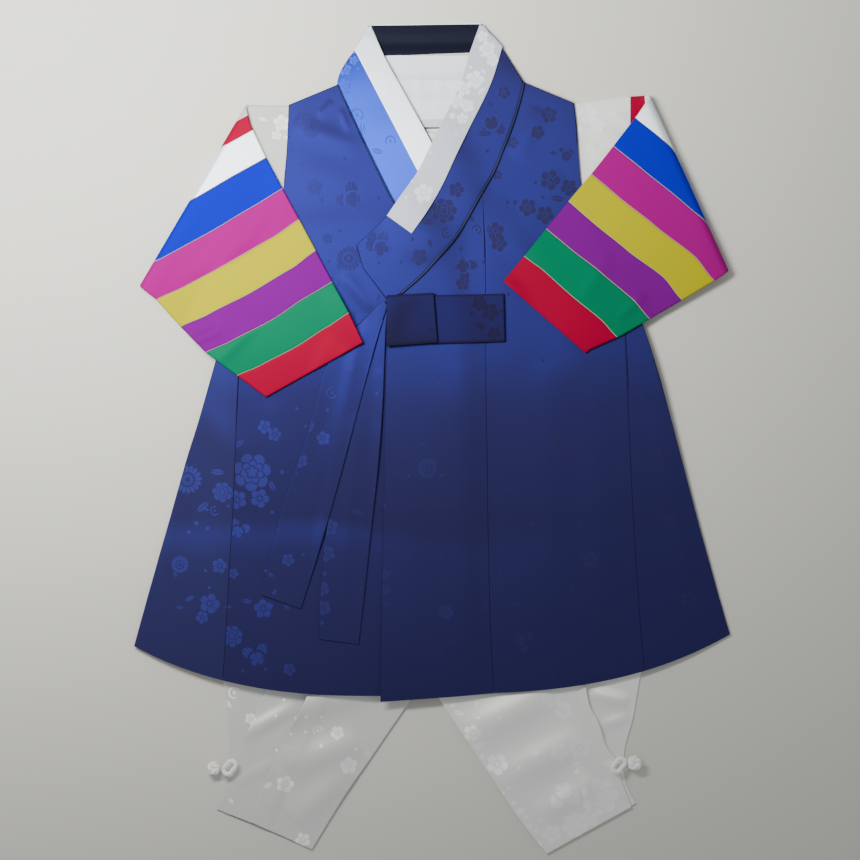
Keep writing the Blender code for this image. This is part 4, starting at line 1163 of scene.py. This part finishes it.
def band(ground, name, rows, cover, bulge):
    """A flat loop of ribbon, lying on what is under it."""
    starts, ends = edges(rows, "left", "right")
    share = with_edges(np.linspace(0, 1, 18), 0.012)[:, None]
    a = starts[0] * (1 - share) + starts[1] * share
    b = ends[0] * (1 - share) + ends[1] * share
    dips = np.zeros(len(a))
    dips[[0, -1]] = 0.3
    rest = ground.rest(3, 0.3, 4.0)
    loops = flat_loops(a, b, 44, dips)
    placed = []
    for points in loops:
        middle = points[..., 2] - TUBE / 2
        level = read(rest, points[..., :2]) + TUBE / 2 + middle * (1 + bulge * np.sin(math.pi * share))
        placed.append(np.dstack([points[..., :2], level]))
    piece = show(name, tube_mesh(name, *placed), cover)
    ground.cover(close_points(placed[0]))


def feed(tree, inputs, values):
    """Gives each named or numbered socket its value, or links the output that it comes from."""
    for key, value in values.items():
        if isinstance(value, bpy.types.NodeSocket):
            tree.links.new(value, inputs[key])
        else:
            inputs[key].default_value = value


def add_node(tree, kind, values, **settings):
    """A shader node with its settings and then its inputs."""
    node = tree.nodes.new("ShaderNode" + kind)
    for name, value in settings.items():
        setattr(node, name, value)
    feed(tree, node.inputs, values)
    return node


class Sum:
    """A socket that can be used in ordinary arithmetic."""

    def __init__(self, tree, socket):
        self.tree, self.socket = tree, socket

    def do(self, operation, *others, clamp=False):
        node = self.tree.nodes.new("ShaderNodeMath")
        node.operation, node.use_clamp = operation, clamp
        for slot, value in zip(node.inputs, (self, *others)):
            if isinstance(value, Sum):
                self.tree.links.new(value.socket, slot)
            else:
                slot.default_value = value
        return Sum(self.tree, node.outputs[0])

    def __add__(self, other):
        return self.do("ADD", other)

    def __sub__(self, other):
        return self.do("SUBTRACT", other)

    def __mul__(self, other):
        return self.do("MULTIPLY", other)

    def __truediv__(self, other):
        return self.do("DIVIDE", other)

    def size(self):
        return self.do("ABSOLUTE")

    def inside(self, limit, softness=0.06):
        """1 where this is below the limit, with a soft edge."""
        return (self.do("MULTIPLY", -1.0) + limit).do("MULTIPLY_ADD", 1 / softness, 0.5, clamp=True)

    def left_out(self, much):
        """1, less as much as this says."""
        return self.do("MULTIPLY_ADD", -much, 1.0)

    def between(self, low, high):
        return self.do("GREATER_THAN", low) * self.do("LESS_THAN", high)


def blossom(radius, angle):
    """Five round petals with a ring and stamens in the middle."""
    petals = (angle * 2.5).do("COSINE").size()
    whole = radius.inside(petals.do("POWER", 0.55) * 0.42 + 0.6)
    notch = petals.inside(0.16, 0.1) * radius.do("GREATER_THAN", 0.35)
    ring = (radius - 0.27).size().inside(0.05)
    stamens = (angle * 5.0).do("SINE").size().inside(0.3, 0.3) * (radius - 0.42).size().inside(0.1)
    return whole * notch.left_out(0.8) * ring.left_out(0.9) * stamens.left_out(0.8)


def daisy(radius, angle):
    """Two rounds of narrow petals."""
    petals = (angle * 8.0).do("COSINE").size()
    outer = radius.inside(petals * 0.2 + 0.8) * radius.do("GREATER_THAN", 0.52)
    inner = radius.inside(petals * 0.1 + 0.34) * radius.do("GREATER_THAN", 0.14)
    return (outer + inner) * petals.inside(0.22, 0.15).left_out(1.0)


def peony(radius, angle):
    """Wide scalloped petals, one within another."""
    outer = (angle * 3.5).do("COSINE").size().do("POWER", 0.6) * 0.28 + 0.74
    middle = (angle * 3.5).do("SINE").size().do("POWER", 0.6) * 0.24 + 0.42
    heart = (angle * 2.5).do("COSINE").size().do("POWER", 0.6) * 0.14 + 0.2
    rims = (radius - middle).size().inside(0.035) + (radius - heart).size().inside(0.035)
    parted = (angle * 3.5).do("COSINE").size().inside(0.14, 0.1) * (radius - middle).do("GREATER_THAN", 0.0)
    inner = (angle * 3.5).do("SINE").size().inside(0.12, 0.1) * (radius - heart).do("GREATER_THAN", 0.0)
    inner = inner * (middle - radius).do("GREATER_THAN", 0.0)
    return (radius - outer).inside(0.0) * (rims + parted + inner).do("MINIMUM", 1.0).left_out(0.85)


def butterfly(radius, angle):
    wings = (angle * 2.0).do("SINE").size().do("POWER", 0.6)
    reach = wings * angle.do("SINE").do("MULTIPLY_ADD", 0.3, 0.8)
    spots = (radius - 0.5).size().inside(0.07)
    lines = (angle * 12.0).do("SINE").size().inside(0.25, 0.3) * radius.do("GREATER_THAN", 0.6)
    return radius.inside(reach) * spots.left_out(0.9) * lines.left_out(0.7)


def leaf(radius, angle):
    side = (angle.do("SINE") * radius).size()
    ahead = angle.do("COSINE") * radius
    return (side * 2.6 + ahead * ahead).inside(1.0) * side.inside(0.06).left_out(0.9)


def curl(radius, angle):
    arc = (radius - 0.85).size().inside(0.13) * angle.do("COSINE").do("GREATER_THAN", -0.55)
    return arc.do("MAXIMUM", radius.inside(0.25))


def bud(radius, angle):
    return radius.inside(0.95)


SHAPES = {shape.__name__: shape for shape in (blossom, daisy, peony, butterfly, leaf, curl, bud)}


def polar(tree, local):
    parts = add_node(tree, "SeparateXYZ", {0: local})
    x, y = Sum(tree, parts.outputs[0]), Sum(tree, parts.outputs[1])
    return (x * x + y * y).do("SQRT"), y.do("ARCTAN2", x)


def sprigs(tree, place):
    """Small leaves and buds strewn between the figures."""
    spread = {"Vector": place, "Scale": 1 / SPRIG_SPACING, "Randomness": 0.9}
    cells = add_node(tree, "TexVoronoi", spread, voronoi_dimensions="2D")
    local = add_node(tree, "VectorMath", {0: place, 1: cells.outputs["Position"]}, operation="SUBTRACT")
    radius, angle = polar(tree, local.outputs[0])
    chance = add_node(tree, "SeparateColor", {0: cells.outputs["Color"]})
    turn, pick = Sum(tree, chance.outputs[0]), Sum(tree, chance.outputs[1])
    woven = bud(radius * (1 / 1.3), angle) * pick.do("GREATER_THAN", 0.8)
    woven = woven + leaf(radius * (1 / 3.2), angle + turn * 6.283) * pick.between(0.62, 0.74)
    patches = add_node(tree, "TexNoise", {"Vector": place, "Scale": 0.02, "Detail": 0.0})
    return woven * Sum(tree, patches.outputs[0]).do("MULTIPLY_ADD", 12.0, -5.8, clamp=True)


def nearest(tree, place, figures, kinds):
    """The place of the nearest figure, with its kind and size packed together as the third value."""
    found = least = None
    for figure in figures:
        spot = (figure.x, figure.y, KIND_STEP * kinds.index(figure.kind) + figure.size)
        centre = {0: place, 1: (figure.x, figure.y, 0)}
        away = add_node(tree, "VectorMath", centre, operation="DISTANCE")
        away = Sum(tree, away.outputs["Value"]) / figure.size
        if found is None:
            found, least = add_node(tree, "CombineXYZ", dict(enumerate(spot))).outputs[0], away
            continue
        choice = add_node(tree, "Mix", {}, data_type="VECTOR")
        sockets = {socket.identifier: socket for socket in choice.inputs}
        closer = away.do("LESS_THAN", least).socket
        feed(tree, sockets, {"Factor_Float": closer, "A_Vector": found, "B_Vector": spot})
        found = next(socket for socket in choice.outputs if socket.identifier == "Result_Vector")
        least = away.do("MINIMUM", least)
    return found


def woven_figures(tree, place, figures):
    """The figures of one piece, and the sprigs between them."""
    total = sprigs(tree, place)
    if not figures:
        return total
    kinds = sorted({figure.kind for figure in figures})
    found = nearest(tree, place, figures, kinds)
    parts = add_node(tree, "SeparateXYZ", {0: found})
    x, y, packed = (Sum(tree, socket) for socket in parts.outputs)
    kind = (packed / KIND_STEP).do("FLOOR")
    size = packed - kind * KIND_STEP
    local = add_node(tree, "VectorMath", {0: place, 1: found}, operation="SUBTRACT")
    radius, angle = polar(tree, local.outputs[0])
    radius, angle = radius / size, angle + (x * 2.4 + y).do("SINE") * 3.0
    for k, name in enumerate(kinds):
        total = total.do("MAXIMUM", SHAPES[name](radius, angle) * kind.do("COMPARE", float(k), 0.5))
    return total


Cover = namedtuple("Cover", "material slot")


def cloth(name, slot, base, gloss=0.0, roughness=0.5, tint=0.6, woven=None, weave=0.02, shine=0.5, lustre=None):
    """Satin, plain or with woven figures whose threads cross those of the ground.

    It shines across its threads, and the figures shine square to that.
    """
    material = bpy.data.materials.new(name)
    material.use_nodes = True
    tree = material.node_tree
    own = np.array(base) / max(base)
    surface = {
        "Base Color": (*base, 1),
        "Roughness": roughness,
        "Metallic": gloss,
        "Specular Tint": (*(lustre or own * tint + 1 - tint), 1),
        "Specular IOR Level": shine,
        "Anisotropic": 0.75,
        "Tangent": add_node(tree, "CombineXYZ", {0: 1, 1: 0}).outputs[0],
    }
    here = add_node(tree, "TexCoord", {}).outputs["Object"]
    place = add_node(tree, "Mapping", {"Vector": here, "Scale": (1 / MM, 1 / MM, 0)}).outputs[0]
    stretch = add_node(tree, "Mapping", {"Vector": place, "Scale": THREAD_STRETCH})
    threads = add_node(tree, "TexNoise", {"Vector": stretch.outputs[0], "Scale": 1.0, "Detail": 1.0})
    threads = Sum(tree, threads.outputs[0])
    height = threads * weave
    if woven is not None:
        colour, figures = woven
        woven = woven_figures(tree, place, figures)
        mixed = {"Factor": (woven * (threads * 1.3 + 0.2)).socket, "A": (*base, 1), "B": (*colour, 1)}
        surface["Base Color"] = add_node(tree, "Mix", mixed, data_type="RGBA").outputs["Result"]
        surface["Anisotropic Rotation"] = (woven * 0.25).socket
        height = height + woven * 0.05
    raised = {"Height": height.socket, "Distance": MM, "Strength": 1.0}
    surface["Normal"] = add_node(tree, "Bump", raised).outputs[0]
    feed(tree, tree.nodes["Principled BSDF"].inputs, surface)
    return Cover(material, slot)


def blue(name, ground=NAVY, gloss=0.0, shine=1.0):
    """The coat's damask, a navy with a bright blue lustre, and the figures that show on the named piece."""
    woven = (tuple(1.2 * value for value in ground), FIGURES.get(name, ()))
    return cloth(
        "blue_damask_" + name, "blue_damask", ground, gloss, 0.48, woven=woven, shine=shine, lustre=BLUE_LUSTRE
    )


def ivory(name, ground=(0.7, 0.7, 0.64), figure=(0.97, 0.97, 0.95), gloss=0.0):
    """The jacquard of the jacket and trousers."""
    woven = (figure, FIGURES.get(name, ()))
    return cloth("ivory_jacquard_" + name, "ivory_jacquard", ground, gloss, 0.52, 0.0, woven)


def neck_weave():
    """The bare woven strip in the neck, with a painted shadow line along its foot."""
    cover = cloth("woven_strip", "white_satin", WOVEN_STRIP, weave=0.4)
    tree = cover.material.node_tree
    here = add_node(tree, "TexCoord", {}).outputs["Object"]
    parts = add_node(tree, "SeparateXYZ", {0: here})
    # The strip's lowest band is painted dark grey, a painted shadow line along its foot.
    foot = Sum(tree, parts.outputs[1]).do("LESS_THAN", STRIP_SHADOW_TOP).socket
    mixed = {"Factor": foot, "A": (*WOVEN_STRIP, 1), "B": (0.09, 0.1, 0.12, 1)}
    colour = add_node(tree, "Mix", mixed, data_type="RGBA").outputs["Result"]
    feed(tree, tree.nodes["Principled BSDF"].inputs, {"Base Color": colour})
    return cover


def build_trousers(ground):
    # One jacquard in two brightnesses: the left leg's lighter ground and figures are painted light, the right
    # leg's darker ones painted shade.
    right = ivory("right_leg", (0.74, 0.74, 0.68), (0.94, 0.94, 0.9), 0.3)
    left = ivory("left_leg", (0.9, 0.9, 0.83), (0.99, 0.99, 0.94), 0.3)
    lay(
        ground,
        Panel("trouser_right_back", strip(RIGHT_LEG_BACK, (3,)), right, ["floor"]),
        Panel(
            "trouser_left_back", strip(LEFT_LEG_BACK, (3,)), left, ["floor"], creases=CREASES["left_leg_back"]
        ),
    )
    side = strip(RIGHT_LEG_SIDE)
    lay(
        ground,
        Panel("trouser_right_side", side, right, ["trouser_right_back"], creases=CREASES["right_leg_side"]),
    )
    legs = (
        ("right", RIGHT_LEG_FRONT, right, "trouser_right_side"),
        ("left", LEFT_LEG_FRONT, left, "trouser_left_back"),
    )
    lay(
        ground,
        *(
            Panel(
                f"trouser_{leg}_front", strip(rows, (2,)), cover, [on],
                creases=CREASES[leg + "_leg"], waves=LEG_WAVES,
            )
            for leg, rows, cover, on in legs
        ),
    )
    top, foot = TROUSER_WAIST + WAISTBAND_WIDTH, TROUSER_WAIST + GAP
    waist = table(
        "left_x left_y right_x right_y",
        (-WAISTBAND_HALF, top, WAISTBAND_HALF, top),
        (-WAISTBAND_HALF, foot, WAISTBAND_HALF, foot),
    )
    band(ground, "trouser_waistband", waist, right, 0)


def build_jacket(ground, sleeves, white):
    lining = cloth("white_lining", "white_satin", (0.76, 0.79, 0.82))
    navy = cloth("navy_satin", "navy_satin", (0.006, 0.0065, 0.014), roughness=0.6, shine=0.1)
    woven_strip = neck_weave()
    body = ivory("body")
    back = strip(JACKET_BACK, (3, 6), 2.5)
    lay(ground, Panel("jacket_back", back, lining, ["coat_back"], creases=CREASES["jacket_back"]))
    lay(ground, Panel("nape_rim", strip(NAPE_RIM), white, ["floor"]))
    lay(ground, Panel("nape_band", strip(NAPE_BAND), navy, ["jacket_back"]))
    lay(ground, Panel("neck_tab", strip(NECK_TAB, (), 2.0), woven_strip, ["jacket_back"], wall=1.0, rim=0.3))
    lay(ground, Panel("jacket_right_front", strip(JACKET_RIGHT_FRONT, (5,), 5.0), body, ["jacket_back"]))
    lay(ground, Panel("jacket_left_front", strip(JACKET_LEFT_FRONT, (3, 6), 5.0), body, ["jacket_back"]))
    for sleeve in sleeves:
        sleeve.cover_flat(ground)
    ground.ease(EASE_SLOPE)


def build_coat(ground, white):
    navy = cloth("navy_piping", "navy_satin", (0.01, 0.012, 0.04), roughness=0.5, shine=0.3)
    strip_cover = ivory("collar_left_strip", (0.49, 0.51, 0.57), (0.85, 0.86, 0.88))
    right, left = ({"creases": CREASES["coat_" + side], "waves": COAT_WAVES} for side in ("right", "left"))
    lay(
        ground,
        Panel("coat_right_front", right_front(), blue("coat_right_front"), ["jacket_right_front"], **right),
        Panel("coat_right_gore", gore("left"), blue("coat_right_gore", GORE_NAVY), ["coat_back"], **right),
        Panel("collar_right", strip(UNDER_COLLAR), blue("collar_right", COLLAR_BLUE, 0.7), ["coat_back"]),
        reach=8, slope=0.12, softness=6,
    )
    edge = piping(UNDER_COLLAR, 0.6, 2, None)
    lay(ground, Panel("collar_right_piping", edge, navy, ["coat_right_front"], wall=PIPING_WALL, rim=0.25))
    lay(ground, Panel("collar_right_strip", strip(UNDER_STRIP, (1,)), white, ["collar_right"]))
    lay(
        ground,
        Panel("coat_left_front", left_front(), blue("coat_left_front"), ["jacket_left_front"], **left),
        Panel("coat_overlap", overlap_panel(), blue("coat_overlap"), ["coat_right_front"], **left),
        Panel("coat_left_gore", gore("right"), blue("coat_left_gore"), ["coat_back"], **left),
        Panel("collar_left", strip(OVER_COLLAR, (1, 11)), blue("collar_left"), ["coat_right_front"]),
        reach=7, slope=0.15, softness=5,
    )
    edge = piping(OVER_COLLAR, 1.1, 1, 12)
    lay(ground, Panel("collar_left_piping", edge, navy, ["coat_left_front"], wall=PIPING_WALL, rim=0.5))
    lay(ground, Panel("collar_left_strip", strip(OVER_STRIP, (1,)), strip_cover, ["collar_left"]))


def build_ribbon(ground):
    tails = (("under", TAIL_UNDER, "coat_right_front"), ("over", TAIL_OVER, "ribbon_tail_under"))
    for layer, rows, on in tails:
        name = "ribbon_tail_" + layer
        tail = Panel(name, strip(rows), blue(name), [on], wall=RIBBON_WALL, creases=CREASES["tails"])
        lay(ground, tail)
    bow = blue("ribbon_bow", BOW_NAVY, shine=0.42)
    band(ground, "ribbon_bow", BOW, bow, BOW_BULGE)
    knot = blue("ribbon_knot", KNOT_NAVY, shine=0.32)
    band(ground, "ribbon_knot", BOW_KNOT, knot, BOW_BULGE)


def build_ankles(ground):
    cord = cloth("ivory_cord", "ivory_cord", (0.96, 0.95, 0.89), weave=0.1)
    tree = cord_nodes()

    def tie(name, line, radius):
        show(name, rope_mesh(name, tree, np.stack(line, axis=1), radius, cord.material), cord)

    for ankle in ANKLES:
        turn = np.linspace(0, 2 * math.pi, 160, endpoint=False)
        bulk = ankle.radius - 1.7
        ring = bulk * (0.66 + 0.34 * np.cos(5 * turn))
        x, y = ankle.ball_x + ring * np.cos(3 * turn), ankle.ball_y + ring * np.sin(3 * turn)
        tie(f"{ankle.wearer}_ankle_button", [x, y, ankle.radius + 0.72 * bulk * np.sin(5 * turn)], KNOT_CORD)
        turn = np.linspace(0, 2 * math.pi, 60, endpoint=False)
        spread = 4.5 * (1 - 0.32 * np.cos(2 * turn))
        x = ankle.loop_x + spread * np.cos(turn - LOOP_SLANT)
        y = ankle.loop_y + spread * np.sin(turn - LOOP_SLANT)
        level = read(ground.rest(2, 0.5, 2.0), np.stack([x, y], axis=1)) + 1.9
        tie(f"{ankle.wearer}_ankle_loop", [x, y, level], LOOP_CORD)


def add_object(name, data):
    item = bpy.data.objects.new(name, data)
    bpy.context.scene.collection.objects.link(item)
    return item


def add_light(name, place, target, size, power):
    """A round area light at one place, turned towards another."""
    light = bpy.data.lights.new(name, "AREA")
    light.shape = "DISK"
    light.size = size
    light.energy = power
    lamp = add_object(name, light)
    lamp.location = place
    across, along, up = np.subtract(target, place)
    lamp.rotation_euler = (math.atan2(math.hypot(across, along), -up), 0, math.atan2(-across, along))


def build_floor():
    mesh = bpy.data.meshes.new("floor")
    corners = [(x * FLOOR_HALF, y * FLOOR_HALF, FLOOR_LEVEL) for x, y in ((-1, -1), (1, -1), (1, 1), (-1, 1))]
    mesh.from_pydata(corners, [], [(0, 1, 2, 3)])
    material = bpy.data.materials.new("floor_paper")
    material.use_nodes = True
    tree = material.node_tree
    paper = {"Base Color": (0.665, 0.65, 0.572, 1), "Roughness": 0.9, "Specular IOR Level": 0.2}
    feed(tree, tree.nodes["Principled BSDF"].inputs, paper)
    mesh.materials.append(material)
    floor = add_object("floor", mesh)


def build_stage():
    build_floor()
    add_light("key", **KEY_LIGHT)
    world = bpy.data.worlds.new("studio")
    world.use_nodes = True
    sky = world.node_tree
    feed(sky, sky.nodes["Background"].inputs, {0: SKY_COLOUR, 1: SKY_STRENGTH})
    bpy.context.scene.world = world
    lens = bpy.data.cameras.new("photo_camera")
    lens.sensor_width = CAMERA_FILM
    lens.lens = CAMERA_FILM * (CAMERA_PLACE[2] - CLOTH_LEVEL) / PHOTO_WIDTH
    camera = add_object("photo_camera", lens)
    camera.location = CAMERA_PLACE
    bpy.context.scene.camera = camera


def main():
    build_stage()
    ground = Ground()
    white = cloth("white_satin", "white_satin", (0.84, 0.88, 0.93), 0.3, 0.5)
    satins = {"white": white}
    for colour, base in SATINS.items():
        name = colour + "_satin"
        satins[colour] = cloth(name, name, base, 0.08, 0.55, 1, shine=0.15)
    stripes = {"stripe_" + name: satins[name.split("_")[0]] for name in STRIPE_NAMES}
    thread = cloth("seam_thread", None, (0.38, 0.31, 0.23), weave=0).material
    right, left = FOLDS
    sleeves = [Sleeve(right, SLEEVE_RIGHT, SWAY_RIGHT), Sleeve(left, SLEEVE_LEFT, SWAY_LEFT)]
    build_trousers(ground)
    lay(ground, Panel("coat_back", coat_back(), blue("back"), ["floor"]), reach=6)
    build_jacket(ground, sleeves, white)
    build_coat(ground, white)
    build_ribbon(ground)
    build_ankles(ground)
    for sleeve in sleeves:
        wearer = sleeve.fold.wearer
        top = ivory(wearer + "_sleeve_top", *SLEEVE_TOPS[wearer])
        sleeve.build(ground, {**stripes, "sleeve_top": top}, thread)


main()
